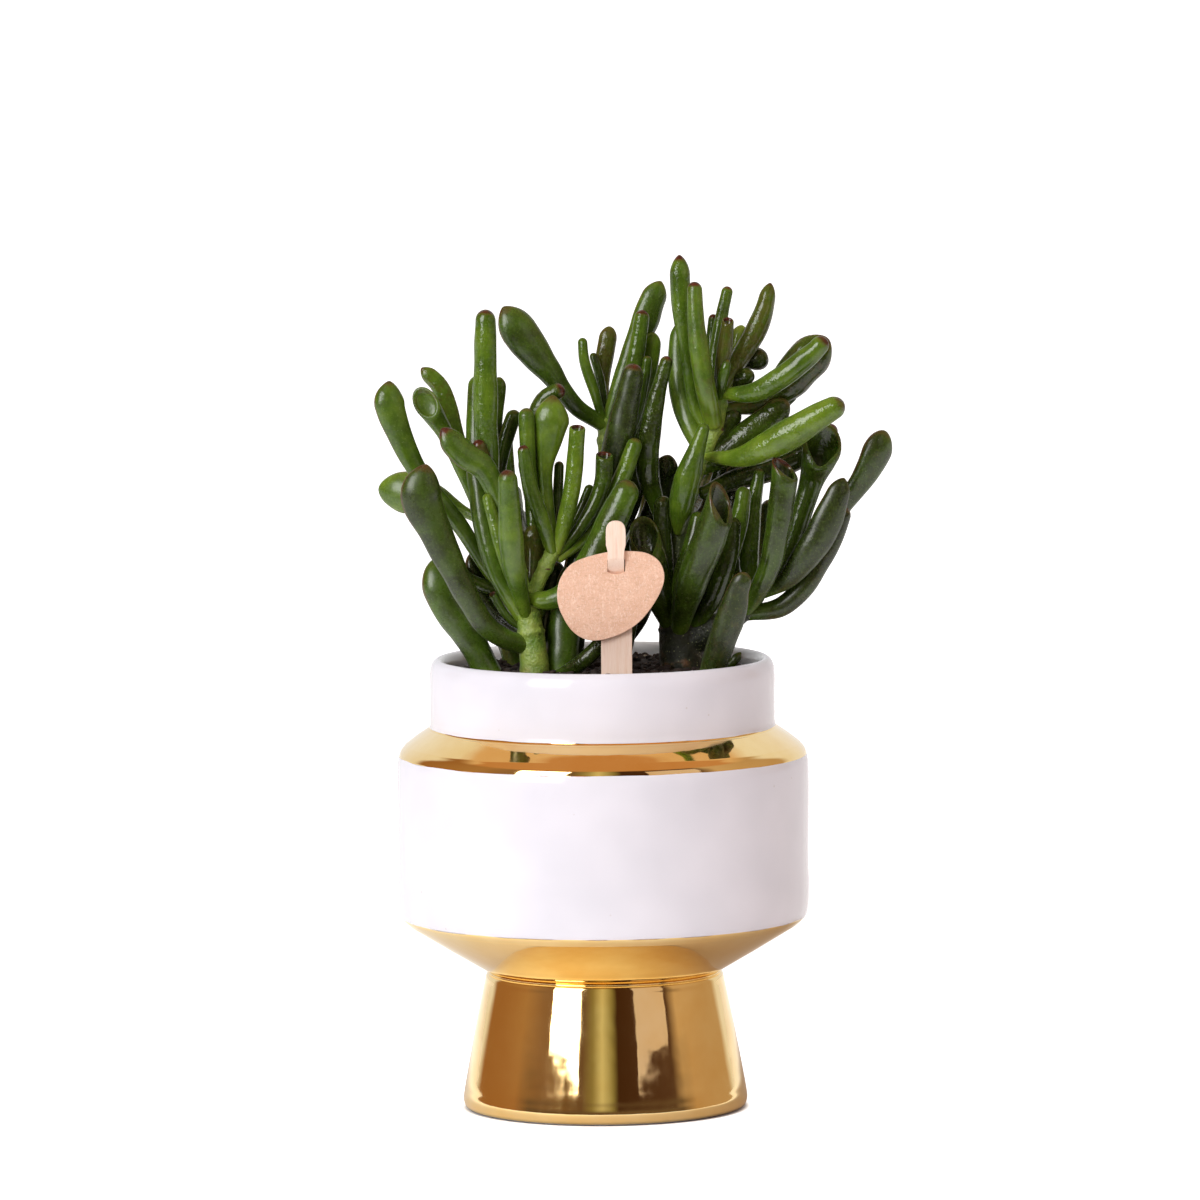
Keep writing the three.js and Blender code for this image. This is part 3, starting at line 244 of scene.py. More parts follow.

# Smaller leaves that only the visual model has.
# Those named shade sit in shade, and their low tones are painted shade.
SMALL_LEAVES = [
    leaf("left_thin", SPOON, [2.6, 3.2, 3.6, 4.6], (-29, 0, 175), (-32, 1, 200), (-30.6, 2, 224), tone=0.4,
         flush=0.3, blush=0.16),
    leaf("left_short_red", FINGER, [3, 4, 4.6, 4.4], (-28.5, -10, 181), (-32.2, -12.5, 191),
         (-35, -15.5, 199.5), (-37.5, -17.4, 206.2), tone=0.25, flush=1, blush=0.36),
    leaf("left_hook", FINGER, [3, 4.6, 5.4, 5.4, 5.2], (-20, -11, 160), (-20.5, -6, 190), (-20.6, -5, 208),
         (-17, -5, 217.5), (-10.8, -6, 221), tone=0.35, flush=1),
    leaf("fork_dark_low", FINGER, [2.6, 3, 3], (-13, -11, 171), (-6.5, -7, 183), (-3, -6, 191.5), tone=0.32,
         flush=0.2),
    leaf("fork_slim_dark", FINGER, [2.6, 3, 3], (-14.6, -11, 171), (-13.3, -5, 186), (-12.5, -3, 198.5),
         tone=0.32, flush=0.6),
    leaf("left_low_bright", FINGER, [3, 3.7, 3.8, 3.4], (-24, -17, 156), (-29.5, -19, 170.5),
         (-32.3, -18, 181), (-34.7, -17, 190), tone=0.6, flush=0.2),
    leaf("left_olive", SPOON, [4.6, 6.4, 6.6], (-22.5, -12, 156), (-20.5, -9, 168), (-20.5, -9, 180),
         tone=0.35, flush=0.3, blush=0.3),
    leaf("left_bud", CUP, [2, 2.4, 2.6], (-23.5, -14, 148), (-28.5, -14, 152), (-33, -15, 159), flush=1,
         cut=(0.4, 0)),
    leaf("left_shade", FINGER, [3, 3.5, 3.5], (-25, -9, 158), (-34, -2, 164), (-39.5, 1, 173.5), tone=0.1,
         flush=0.2),
    leaf("left_back_arm", FINGER, [3.4, 4.3, 4.3], (-25, -10, 158), (-40, -9, 163), (-48, -8, 170),
         (-53.5, -8, 177), tone=0.25),
    leaf("middle_thin_left", FINGER, [2.4, 3, 3.4, 3], (1, 12, 209), (-1.8, 8.5, 219), (-4.7, 7, 228.5),
         (-5.3, 7, 235.4), tone=0.55, flush=0.1),
    leaf("middle_thin_right", FINGER, [2.2, 2.7, 2.6], (1.2, 13, 210), (0.3, 14, 221), (-2.2, 15, 230.2),
         tone=0.3, flush=0.1),
    leaf("middle_back_tall", SPOON, [3, 4, 4.8, 5.6], (3, 13, 190), (12, 9, 212), (15.4, 10, 228),
         (16.2, 10, 236.8), tone=0.55, flush=0.3),
    leaf("middle_slim_front", FINGER, [2.4, 3, 3], (3, 11, 196), (10.6, 6, 210), (13.4, 5, 221.5),
         (14.6, 4.5, 229.9), tone=0.45),
    leaf("middle_point", FINGER, [2, 2, 2], (12, 11, 207), (16.8, 12, 219), (17.8, 12, 226.5), tone=0.2,
         flush=0.2),
    leaf("right_top_red", FINGER, [2.4, 3, 3], (36, 1, 217), (34.4, 6, 225.5), (34.1, 7, 234.5),
         (34.8, 7, 242.3), tone=0.45, flush=1),
    leaf("right_top_cup", CUP, [3.4, 4.4, 4.6, 3.6], (36.5, -1, 219.5), (37, -3, 226), (38.2, -4, 234),
         (39, -5, 240.8), tone=0.35, flush=1, blush=0.34, cut=(0.5, 0)),
    leaf("right_top_point", POINT, [2.4, 3.4, 3.2], (36.5, -1, 217), (37.2, -4.4, 223), (39, -6, 229.3),
         tone=0.4, flush=0.4),
    leaf("right_top_olive", SPOON, [3, 4.6, 6], (38, 2, 220), (39.8, 7, 225.5), (42.2, 9, 232.5),
         (43.5, 10, 238.7), tone=0.85, flush=0.3, blush=0.12),
    leaf("right_round", FINGER, [3, 5, 7, 7.2], (38, 8, 221), (44, 9, 228.5), (51.4, 7, 227.6), tone=0.2,
         flush=0.1),
    leaf("right_low_round", FINGER, [3, 4.6, 5.6, 5.4], (36.5, 4, 217), (41, 3, 222), (46.8, 0, 224.4),
         tone=0.2, flush=0.1),
    leaf("right_arm_back", FINGER, [2.6, 3, 3], (33, 1, 204), (50, 4, 210), (59.6, 4, 218), tone=0.3,
         flush=0.3),
    leaf("right_arm_low", FINGER, [4, 7, 7.4, 5], (31, 1, 188), (40, 4, 191.5), (52, 5, 195), (63, 5, 200),
         (71.8, 4, 208), tone=0.15, flush=1),
    leaf("right_inner_tall", FINGER, [4, 6, 6.4, 4.6], (31, -3, 150), (38, -5, 168), (42, -6, 180),
         (43.6, -6, 190.6), flush=0.3),
    leaf("right_inner_slim", FINGER, [3, 6, 6.2, 5, 3.6], (46, 0, 156), (45, 1, 167), (45.8, 1, 180),
         (48.6, 2, 195.4), flush=0.6),
    leaf("right_base_bud", POINT, [2, 2.6, 2.8], (30, -3, 133), (38, -5, 135.4), (42.4, -5, 139.8), tone=0.25,
         flush=0.2),
    leaf("right_shade_left", FINGER, [4, 5.6, 5.4], (21.5, -3, 148), (19.5, -5, 165), (18.6, -6, 178),
         (19, -7, 188), tone=0.2, flush=0.2),
    leaf("right_shade_mid", FINGER, [5, 7.4, 8, 6.6, 4.8], (23, -6, 150), (25.5, -9, 162.5), (28, -10, 173),
         (29.8, -10, 183.4), tone=0.3, flush=0.2),
    leaf("centre_low", FINGER, [4, 5, 4.6], (-13, -14, 134), (-5.6, -18, 139), (0, -18, 144.5), (6, -18, 152),
         tone=0.12, flush=0.1),
    leaf("back_left_low_finger", FINGER, [4, 5.4, 5], (-21, -9, 148), (-27, 4, 158), (-33, 12, 172),
         (-35, 16, 188), tone=0.3, flush=0.4),
    leaf("back_left_slim", FINGER, [3, 4, 4], (-26, -5, 170), (-26, 6, 180), (-28, 13, 192), (-29, 17, 206),
         tone=0.4, flush=0.6),
    leaf("back_left_cup", CUP, [3.4, 4.4, 6.4], (-24, -9, 160), (-24, 10, 166), (-25, 24, 174),
         (-26, 33, 178), tone=0.3, flush=0.7, cut=(0.8, 180), depth=1.5),
    leaf("back_left_soil", SPOON, [6, 7.4, 8.4], (-26, 12, 133), (-30, 22, 146), (-33, 28, 160), tone=0.3,
         flush=0.2),
    leaf("back_fork_spoon", SPOON, [3.4, 4.6, 7.4], (-16, -12, 168), (-19, 6, 178), (-21, 18, 189),
         (-22, 24, 200), tone=0.4),
    leaf("back_middle_low_finger", FINGER, [4, 5.6, 5.4], (4, 15, 165), (9, 26, 170), (14, 34, 178),
         (16, 38, 190), tone=0.3, flush=0.6),
    leaf("back_middle_left", FINGER, [3.6, 4.6, 4.4], (2.6, 14, 180), (9, 24, 190), (9, 32, 199),
         (8, 35, 208), tone=0.35),
    leaf("back_middle_dark", FINGER, [4.4, 6, 6], (3, 12, 170), (9, 10, 184), (12, 11, 199), (13, 12, 209),
         tone=0.15, flush=0.3),
    leaf("back_middle_shade", SPOON, [4.4, 6.6, 8], (3.4, 14, 160), (11, 12, 172), (17, 12, 184),
         (21, 12, 199), tone=0.1, flush=0.2),
    leaf("back_middle_base", SPOON, [6, 7.4, 7.6], (4.4, 15, 140), (11, 12, 150), (14, 12, 163),
         (14, 13, 176), tone=0.1, flush=0.2),
    leaf("back_middle_cup", CUP, [3.6, 4.8, 6.6], (4, 16, 150), (8, 28, 158), (12, 38, 164), (14, 43, 172),
         tone=0.25, flush=0.8, cut=(0.8, 180), depth=1.5),
    leaf("back_right_low_finger", FINGER, [4.6, 6, 5.6], (26, 3, 150), (34, 16, 156), (40, 25, 166),
         (43, 29, 180), tone=0.25),
    leaf("back_right_slim", FINGER, [3.4, 4.4, 4.2], (32, 2, 203), (37, 13, 208), (40, 19, 214),
         (41, 22, 221), tone=0.3, flush=0.6),
    leaf("back_right_cup", CUP, [3.8, 5, 7], (25, 3, 178), (30, 20, 184), (33, 31, 190), (34, 37, 197),
         tone=0.25, flush=0.8, cut=(0.8, 180), depth=1.5),
    leaf("back_right_shade", SPOON, [5, 7, 8.4], (25, 2, 172), (33, 10, 182), (38, 13, 192), (41, 14, 204),
         tone=0.12, flush=0.2),
    leaf("back_right_dark", FINGER, [4.4, 6, 6], (26, 2, 160), (35, 8, 170), (40, 10, 182), (41, 11, 196),
         tone=0.1, flush=0.2),
    leaf("back_right_arm", FINGER, [4, 5.4, 5.4], (44, -2, 152), (48, 10, 160), (51, 19, 171), (52, 24, 184),
         tone=0.2),
    leaf("back_right_soil", SPOON, [6, 8, 8.6], (27, 6, 135), (36, 16, 143), (41, 22, 155), (43, 25, 168),
         tone=0.15, flush=0.2),
    leaf("centre_back", FINGER, [5, 7, 6.6], (5, -6, 134), (7, -11, 148), (9.5, -12, 158), tone=0.1,
         flush=0.1),
    leaf("right_arm_root", FINGER, [4, 7, 7.6, 6.4], (31, 1, 195), (36, 2, 206), (42, 2, 213.5), tone=0.25,
         flush=0.2),
    leaf("left_stem_shade", FINGER, [6, 8, 7], (-19, -4, 133), (-17, -2, 150), (-14, 0, 168), tone=0.15,
         flush=0.2),
    leaf("centre_shade", FINGER, [5, 7.4, 8, 6.4], (-9, -4, 133), (-8.5, -5, 150), (-8, -6, 163),
         (-5.5, -6, 178), tone=0.15, flush=0.2),
]


def limb(radii, scars, *path):
    """A limb of a stem: radii along its path from the soil up, and the shares with leaf scars."""
    return SimpleNamespace(radii=radii, scars=scars, path=path)


LEFT_STEM = [
    limb([4.4, 4.5, 4.2, 3.8, 3], [0.62, 0.8, 0.93], (-20.5, -14, 128), (-20.5, -14, 135), (-21.3, -14, 145),
         (-22.3, -14, 152), (-23.5, -13, 159)),
    limb([2.8, 2.5, 2.3, 1.9], [0.3, 0.65, 0.95], (-23.2, -13, 157), (-25, -10.4, 166), (-27, -8, 175),
         (-28.6, -7, 184)),
    limb([2.4, 2.3, 2.3, 2.5], [0.3, 0.7], (-22, -14.2, 154), (-19.5, -15, 162), (-16.6, -15, 168),
         (-14.4, -15, 172.6)),
]
MIDDLE_STEM = [
    limb([4, 4, 3.4, 3, 2.6, 2.3], [0.5, 0.66, 0.8, 0.92], (4.5, 14, 128), (4.5, 14, 135), (3.5, 14, 158),
         (3, 13, 176), (1.8, 12, 196), (1.3, 12, 210)),
]
RIGHT_STEM = [
    limb([6.8, 7, 6, 5, 4, 3.2, 3, 2.8, 2.4, 1.6], [0.2, 0.33, 0.5, 0.64, 0.75, 0.85, 0.93],
         (24.7, 0, 128), (24.7, 0, 135), (23.4, 0, 150), (22.9, 0, 165), (24.6, 0, 180), (27.6, 0, 192),
         (31.2, 0, 200), (34.9, 0, 208), (36.6, 0, 216), (37.4, 0, 222)),
    limb([3.4, 2.8, 2.4], [0.5], (23, 0.5, 162), (20, 2, 173), (17.6, 4, 183.4)),
    limb([4.4, 4.4, 3.2, 2.4], [0.4, 0.75], (24.6, -1, 142), (33, -2.6, 146.5), (43, -3.4, 152),
         (48, -2.8, 157.5)),
]

# The room round the pot, as (degrees to the right of the camera's side, colour): brown and dark bands
# and the white sweep behind. Below eye level the front is dark.
SWEEP_LEFT = [(-180, (0.95, 0.95, 0.97)), (-134, (0.92, 0.9, 0.88)), (-126, (0.36, 0.17, 0.06))]
SWEEP_RIGHT = [(124, (0.55, 0.38, 0.22)), (132, (0.92, 0.9, 0.88)), (180, (0.95, 0.95, 0.97))]
ROOM = [
    *SWEEP_LEFT, (-80, (0.44, 0.24, 0.1)), (-60, (0.3, 0.17, 0.09)), (-20, (0.16, 0.09, 0.05)),
    (-11, (0.3, 0.25, 0.1)), (-3, (0.7, 0.64, 0.36)), (6, (0.3, 0.26, 0.1)), (11, (0.06, 0.025, 0.01)),
    (60, (0.1, 0.05, 0.03)), (70, (0.64, 0.45, 0.28)), *SWEEP_RIGHT,
]
LOW_ROOM = [
    *SWEEP_LEFT, (-80, (0.4, 0.2, 0.08)), (-66, (0.15, 0.1, 0.06)), (66, (0.15, 0.1, 0.06)),
    (80, (0.55, 0.36, 0.2)), *SWEEP_RIGHT,
]
CEILING = (0.6, 0.3, 0.13)
BACK_CEILING = (0.78, 0.53, 0.32)
OVERHEAD = (0.75, 0.72, 0.71)
FILL = [
    (-180, (0.2, 0.195, 0.2)), (-70, (0.2, 0.195, 0.2)), (-10, (0.31, 0.29, 0.3)), (30, (0.2, 0.145, 0.12)),
    (90, (0.25, 0.14, 0.085)), (150, (0.22, 0.18, 0.16)), (180, (0.2, 0.195, 0.2)),
]


# Shader nodes

def rgba(colour):
    """Linear colour of an sRGB hex code, or of linear red, green and blue."""
    if isinstance(colour, str):
        channels = [int(colour[i:i + 2], 16) / 255 for i in (1, 3, 5)]
        colour = [c / 12.92 if c <= 0.04045 else ((c + 0.055) / 1.055) ** 2.4 for c in channels]
    return (*colour, 1)


class Nodes:
    """Short ways to add nodes to a tree. A value is a number, a colour or another node's socket."""

    def __init__(self, tree):
        self.nodes, self.links = tree.nodes, tree.links

    def put(self, value, socket):
        if isinstance(value, bpy.types.NodeSocket):
            self.links.new(value, socket)
        else:
            socket.default_value = rgba(value) if socket.type == "RGBA" else value

    def fill(self, node, **inputs):
        for name, value in inputs.items():
            self.put(value, node.inputs[name.replace("_", " ")])

    def add(self, kind, settings=None, **inputs):
        node = self.nodes.new("ShaderNode" + kind)
        for name, value in (settings or {}).items():
            setattr(node, name, value)
        self.fill(node, **inputs)
        return node

    def math(self, operation, a, b=0.0, kind="Math"):
        node = self.add(kind, {"operation": operation})
        self.put(a, node.inputs[0])
        self.put(b, node.inputs[1])
        return node.outputs["Value"]

    def plus(self, first, *others):
        for other in others:
            first = self.math("ADD", first, other)
        return first

    def times(self, a, b):
        return self.math("MULTIPLY", a, b)

    def split(self, vector):
        return self.add("SeparateXYZ", Vector=vector).outputs

    def ramp(self, value, low, high, start=0.0, end=1.0, smooth=True):
        """value from low to high becomes start to end, clamped."""
        settings = {"interpolation_type": "SMOOTHSTEP" if smooth else "LINEAR"}
        node = self.add("MapRange", settings, Value=value, From_Min=low, From_Max=high, To_Min=start,
                        To_Max=end)
        return node.outputs["Result"]

    def vary(self, field, start, end):
        """A number from start to end over the range that noise mostly takes."""
        return self.ramp(field, 0.3, 0.7, start, end)

    def colours(self, value, *stops):
        """A colour ramp: stops are pairs of a place from 0 to 1 and a colour."""
        node = self.add("ValToRGB", Fac=value)
        elements = node.color_ramp.elements
        while len(elements) < len(stops):
            elements.new(0.5)
        for element, (at, colour) in zip(elements, stops):
            element.position = at
            element.color = rgba(colour)
        return node.outputs["Color"]

    def shades(self, field, low, high):
        """Two colours over the range that noise mostly takes."""
        return self.colours(field, (0.3, low), (0.7, high))

    def mix(self, share, first, second):
        return self.add("Mix", {"data_type": "RGBA"}, Factor=share, A=first, B=second).outputs["Result"]


class Shading(Nodes):
    """The nodes of one new material, with noise and cells of a size in millimetres."""

    def __init__(self, name):
        self.material = bpy.data.materials.new(name)
        self.material.use_nodes = True
        super().__init__(self.material.node_tree)
        self.shader = self.nodes["Principled BSDF"]
        self.place = self.add("TexCoord").outputs["Object"]

    def noise(self, size, detail=4, roughness=0.55, stretch=(1, 1, 1), distortion=0):
        place = self.add("Mapping", Vector=self.place, Scale=stretch).outputs["Vector"]
        return self.add("TexNoise", Vector=place, Scale=1 / (size * MM), Detail=detail, Roughness=roughness,
                        Distortion=distortion).outputs["Fac"]

    def cells(self, size, low, high, start):
        """Dots: start within low of each cell's middle, and 0 beyond high."""
        away = self.add("TexVoronoi", Vector=self.place, Scale=1 / (size * MM)).outputs["Distance"]
        return self.ramp(away, low, high, start, 0)

    def attribute(self, name):
        return self.add("Attribute", {"attribute_name": name}).outputs["Fac"]

    def surface(self, colour, roughness, height, strength, depth, **more):
        """Gives the material its look, with a bump whose full height is a depth in millimetres."""
        bump = self.add("Bump", Height=height, Strength=strength, Distance=depth * MM).outputs["Normal"]
        self.fill(self.shader, Base_Color=colour, Roughness=roughness, Normal=bump, **more)
        return self.material


# Camera, lights and floor

def add_object(name, data):
    made = bpy.data.objects.new(name, data)
    bpy.context.collection.objects.link(made)
    return made


def look_at(position, target):
    """The rotation that turns an object's -Z from position towards target, with +Y up."""
    return (Vector(target) - Vector(position)).to_track_quat("-Z", "Y")


def add_camera():
    elevation = math.radians(CAMERA_ELEVATION)
    aim = Vector(CAMERA_AIM)
    back = Vector((0, -math.cos(elevation), math.sin(elevation)))
    data = bpy.data.cameras.new("camera")
    data.lens = CAMERA_LENS
    data.sensor_width = CAMERA_SENSOR
    data.clip_start = 0.1
    data.clip_end = 100
    camera = add_object("camera", data)
    camera.location = aim + back * CAMERA_DISTANCE
    turn = look_at(camera.location, aim)
    roll = Matrix.Rotation(math.radians(-CAMERA_ROLL), 4, "Z")
    camera.matrix_world = Matrix.Translation(camera.location) @ turn.to_matrix().to_4x4() @ roll
    bpy.context.scene.camera = camera


def add_softbox(name, position, target, width, height, power, colour=(1, 1, 1)):
    data = bpy.data.lights.new(name, "AREA")
    data.shape = "RECTANGLE"
    data.size = width
    data.size_y = height
    data.energy = power
    data.color = colour
    light = add_object(name, data)
    light.location = position
    light.rotation_mode = "QUATERNION"
    light.rotation_quaternion = look_at(position, target)
    light.visible_camera = False
    return light


def add_studio():
    """A tall softbox at the left front, brighter in reflections than as light, a card that bounces it
    at the right, and two soft fills."""
    tall = ((-0.56, -0.77, 0.535), (0, 0, 0.25), 0.5, 0.64)
    middle = (0, 0, 0.17)
    add_softbox("front_softbox", *tall, 6.9)
    add_softbox("bounce_card", (0.6, -0.66, 0.48), (0, 0, 0.3), 0.5, 0.56, 0.58, (1, 0.86, 0.84))
    add_softbox("glint_softbox", *tall, 8.9).visible_diffuse = False
    add_softbox("top_softbox", (-0.4, -0.5, 1.6), middle, 0.5, 0.5, 5).visible_glossy = False
    right = add_softbox("right_softbox", (1.7, -0.6, 0.8), middle, 0.3, 1.0, 2.2, (1, 0.62, 0.4))
    right.visible_glossy = False


def add_room():
    """The camera sees plain white, gloss reflects the room, and an even fill lights everything."""
    world = bpy.data.worlds.new("room")
    bpy.context.scene.world = world
    world.use_nodes = True
    n = Nodes(world.node_tree)
    way = n.split(n.add("TexCoord").outputs["Generated"])
    turn = n.math("ARCTAN2", way["X"], n.times(way["Y"], -1.0))
    turn = n.plus(n.math("DIVIDE", turn, 2 * math.pi), 0.5)

    def round_room(stops):
        return n.colours(turn, *[((degrees + 180) / 360, colour) for degrees, colour in stops])

    def beyond(axis, start, end):
        return n.ramp(way[axis], start, end, smooth=False)

    room = n.mix(beyond("Z", 0.1, 0.18), round_room(LOW_ROOM), round_room(ROOM))
    room = n.mix(beyond("Z", 0.68, 0.76), room, n.mix(beyond("Y", 0.2, 0.25), CEILING, BACK_CEILING))
    fill = n.mix(beyond("Z", 0.35, 0.75), round_room(FILL), OVERHEAD)
    rays = n.add("LightPath").outputs
    lit = n.mix(rays["Is Glossy Ray"], fill, room)
    n.fill(n.nodes["Background"], Color=n.mix(rays["Is Camera Ray"], lit, (1, 1, 1)))


def add_floor():
    """A pale floor. What the object sees of it is painted light and shade: bright behind and dark towards
    the front, where the photographer's room was, with the pot's shadow painted round its foot, deepest
    at the right back."""
    bpy.ops.mesh.primitive_plane_add(size=40)
    floor = bpy.context.active_object
    floor.name = "floor"
    s = Shading("pale_floor")

    def from_point(x, y):
        return s.math("DISTANCE", s.place, (x, y, 0), "VectorMath")

    # Painted shadow of the pot on the floor, deepest at the right back.
    shade = s.ramp(from_point(0.06, 0.05), 0.04, 0.26, 0.35, 1)
    lit = s.times(s.ramp(s.split(s.place)["Y"], -0.7, -0.15), shade)
    seen = s.add("LightPath").outputs["Is Camera Ray"]
    share = s.math("MAXIMUM", lit, seen)
    glow = s.plus(s.times(share, 0.5), s.times(seen, 0.35))
    # Painted contact shadow: no glow in a thin ring round the foot's edge.
    glow = s.times(glow, s.ramp(from_point(0, 0), 0.0425, 0.0445))
    # Painted shade: the base colour is dark brown where the floor is painted dark, and the glow turns warm
    # brown in the painted shadow.
    clear = s.math("MAXIMUM", s.ramp(shade, 0.3, 0.7), seen)
    s.fill(s.shader, Base_Color=s.mix(share, (0.1, 0.06, 0.04), (0.86, 0.86, 0.87)), Roughness=0.85,
           Emission_Color=s.mix(clear, (1, 0.6, 0.3), (1, 1, 1)), Emission_Strength=glow)
    floor.data.materials.append(s.material)


# Materials

def leaf_material():
    """Glossy leaf skin: green by tone, which is partly painted shade, yellower at the foot, red where
    flushed, finely speckled, and wrinkled in patches so that highlights break up."""
    s = Shading("jade_leaf")
    satin = s.attribute("satin")
    shade = s.plus(s.attribute("tone"), s.vary(s.noise(7, detail=3), -0.1, 0.1),
                   s.ramp(s.attribute("along"), 0, 0.24, 0.28, 0))
    green = s.colours(shade, (0, "#151b04"), (0.25, "#283507"), (0.5, "#425b11"), (0.75, "#667e20"),
                      (1, "#8fa03a"))
    grain = s.noise(0.7, detail=5, roughness=0.6)
    green = s.mix(s.ramp(grain, 0.45, 0.75, 0, 0.16), green, "#7d9448")
    green = s.mix(s.cells(1.3, 0.06, 0.18, 0.22), green, "#97a86c")
    red = s.shades(s.noise(1.6, detail=3), "#2b100b", "#5a2617")
    edge = s.plus(s.attribute("flush"), s.vary(s.noise(2.2), -0.12, 0.12))
    brown = s.mix(s.ramp(edge, 0.12, 0.36, 0, 0.5), green, "#54451f")
    colour = s.mix(s.ramp(edge, 0.38, 0.8), brown, red)
    colour = s.mix(s.ramp(s.attribute("margin"), 0.3, 1, 0, 0.5), colour, "#6b3a26")
    glancing = s.ramp(s.add("LayerWeight", Blend=0.5).outputs["Facing"], 0.45, 0.95, 0, 0.4)
    rough = s.plus(s.vary(s.noise(2.5), 0.1, 0.17), s.plus(glancing, s.ramp(satin, 0, 1, 0, 0.15)))
    ripple = s.times(s.noise(1.1, detail=2), s.ramp(s.noise(9), 0.4, 0.62, 0.15, 1.6))
    height = s.plus(ripple, s.times(s.noise(4.5, detail=1), 0.6))
    return s.surface(colour, rough, s.times(height, s.ramp(satin, 0, 1, 1, 0.15)), 0.6, 0.28,
                     Subsurface_Weight=0.1, Subsurface_Radius=(0.4, 1, 0.2), Subsurface_Scale=0.002)


def stem_material(name, green_from, green_to, bark):
    """Living stem: dark below and bright yellow-green above, between two heights, with bark creeping
    up from the soil and round the leaf scars."""
    s = Shading(name)
    patches = s.noise(4)
    grain = s.noise(0.8, detail=5)
    height = s.ramp(s.split(s.place)["Z"], green_from * MM, green_to * MM)
    dark = s.shades(patches, "#14190b", "#252e14")
    bright = s.shades(patches, "#658829", "#9bad49")
    colour = s.mix(height, dark, bright)
    colour = s.mix(s.cells(1.1, 0.12, 0.24, 0.4), colour, "#b4bd86")
    cover = s.plus(s.attribute("bark"), s.vary(patches, -bark, bark))
    colour = s.mix(s.ramp(cover, 0.35, 0.8), colour, s.shades(grain, "#3b2413", "#7a5632"))
    return s.surface(colour, s.vary(grain, 0.28, 0.5), s.plus(patches, grain), 0.7, 0.6)


def glaze_material(name, low, high):
    """Softly clouded glaze with a few pinholes."""
    s = Shading(name)
    colour = s.shades(s.noise(30, detail=2), low, high)
    colour = s.mix(s.cells(9, 0.02, 0.05, 0.4), colour, "#b9aaa0")
    return s.surface(colour, s.vary(s.noise(5), 0.07, 0.12), s.noise(9, detail=2), 0.3, 0.1, IOR=1.4)


def gold_material():
    s = Shading("gold_lustre")
    colour = s.shades(s.noise(18, detail=3), "#edcb88", "#f3d9a0")
    streaks = s.noise(2.5, detail=5, stretch=(1, 1, 0.1))
    height = s.plus(s.noise(14, detail=2), s.times(streaks, 0.02))
    return s.surface(colour, s.ramp(streaks, 0.35, 0.75, 0.035, 0.085), height, 0.3, 0.35, Metallic=1.0)


def plastic_material():
    s = Shading("black_plastic")
    grain = s.noise(0.9)
    return s.surface(s.shades(s.noise(12), "#1b1918", "#2b2725"), s.vary(grain, 0.35, 0.55), grain, 0.4, 0.1)


def soil_material():
    s = Shading("peat_soil")
    clumps = s.noise(3, detail=6, roughness=0.7)
    colour = s.colours(clumps, (0.3, "#120b08"), (0.55, "#2b1b13"), (0.8, "#4a3424"))
    colour = s.mix(s.cells(2.6, 0.1, 0.16, 0.8), colour, "#8b7560")
    return s.surface(colour, s.vary(clumps, 0.75, 0.95), s.noise(1.2, detail=6, roughness=0.7), 0.9, 0.8)


def perlite_material():
    s = Shading("pale_grains")
    return s.surface(s.shades(s.noise(0.6), "#7f6e5c", "#c3b49d"), 0.8, s.noise(0.4), 0.6, 0.2)


def wood_material():
    """Pale planed wood with its grain along Z."""
    s = Shading("stake_wood")
    grain = s.noise(1.1, detail=6, roughness=0.65, stretch=(1, 1, 0.06), distortion=0.4)
    fibres = s.noise(0.25, detail=3, stretch=(1, 1, 0.05))
    colour = s.colours(grain, (0.3, "#eccbb4"), (0.55, "#f3d9c8"), (0.75, "#e2b9a0"))
    colour = s.mix(s.ramp(fibres, 0.55, 0.8, 0, 0.35), colour, "#c99c70")
    return s.surface(colour, s.vary(fibres, 0.5, 0.7), s.plus(grain, fibres), 0.4, 0.08)


def board_material():
    """Kraft board: warm brown with light and dark fibres."""
    s = Shading("kraft_board")
    cloud = s.noise(4)
    light = s.noise(0.5, stretch=(1, 1, 0.35), distortion=1.5)
    dark = s.noise(0.45, stretch=(0.35, 1, 1), distortion=1.5)
    colour = s.shades(cloud, "#dcae92", "#e8bea4")
    colour = s.mix(s.ramp(light, 0.5, 0.66, 0, 0.6), colour, "#f6dccb")
    colour = s.mix(s.ramp(dark, 0.5, 0.66, 0, 0.35), colour, "#b58468")
    return s.surface(colour, s.vary(cloud, 0.75, 0.9), s.plus(light, dark), 0.4, 0.08)


# Mesh helpers

def new_piece(name, mesh, slot, *materials):
    """A piece on the root body."""
    mesh.name = name
    for material in materials:
        mesh.materials.append(material)
    piece = add_object(name, mesh)
    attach(piece, "root")
    return piece


def new_skin(node, mesh, slot, *materials):
    """The detailed piece that stands for a CAD node."""
    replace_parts(new_piece(node + "_skin", mesh, slot, *materials), node)


def mesh_from(vertices, faces):
    """A smooth-shaded mesh from vertices in millimetres."""
    mesh = bpy.data.meshes.new("mesh")
    mesh.from_pydata((np.array(vertices, dtype=float) * MM).tolist(), [], faces)
    mesh.shade_smooth()
    mesh.update()
    return mesh


def set_values(mesh, **values):
    """A number for each vertex under each name, which the material reads."""
    for name, column in values.items():
        data = mesh.attributes.new(name, "FLOAT", "POINT").data
        data.foreach_set("value", np.asarray(column, dtype=np.float32))


def baked_mesh(item):
    """The mesh that an object's modifiers or its curve's fill make; the object goes."""
    graph = bpy.context.evaluated_depsgraph_get()
    mesh = bpy.data.meshes.new_from_object(item.evaluated_get(graph))
    bpy.data.objects.remove(item)
    return mesh


def smoothstep(low, high, value):
    share = np.clip((np.asarray(value, dtype=float) - low) / (high - low), 0, 1)
    return share * share * (3 - 2 * share)


def hermite(t):
    """Weights of a start, its slope, an end and its slope, at a share t of the way."""
    return 2 * t**3 - 3 * t**2 + 1, t**3 - 2 * t**2 + t, 3 * t**2 - 2 * t**3, t**3 - t**2


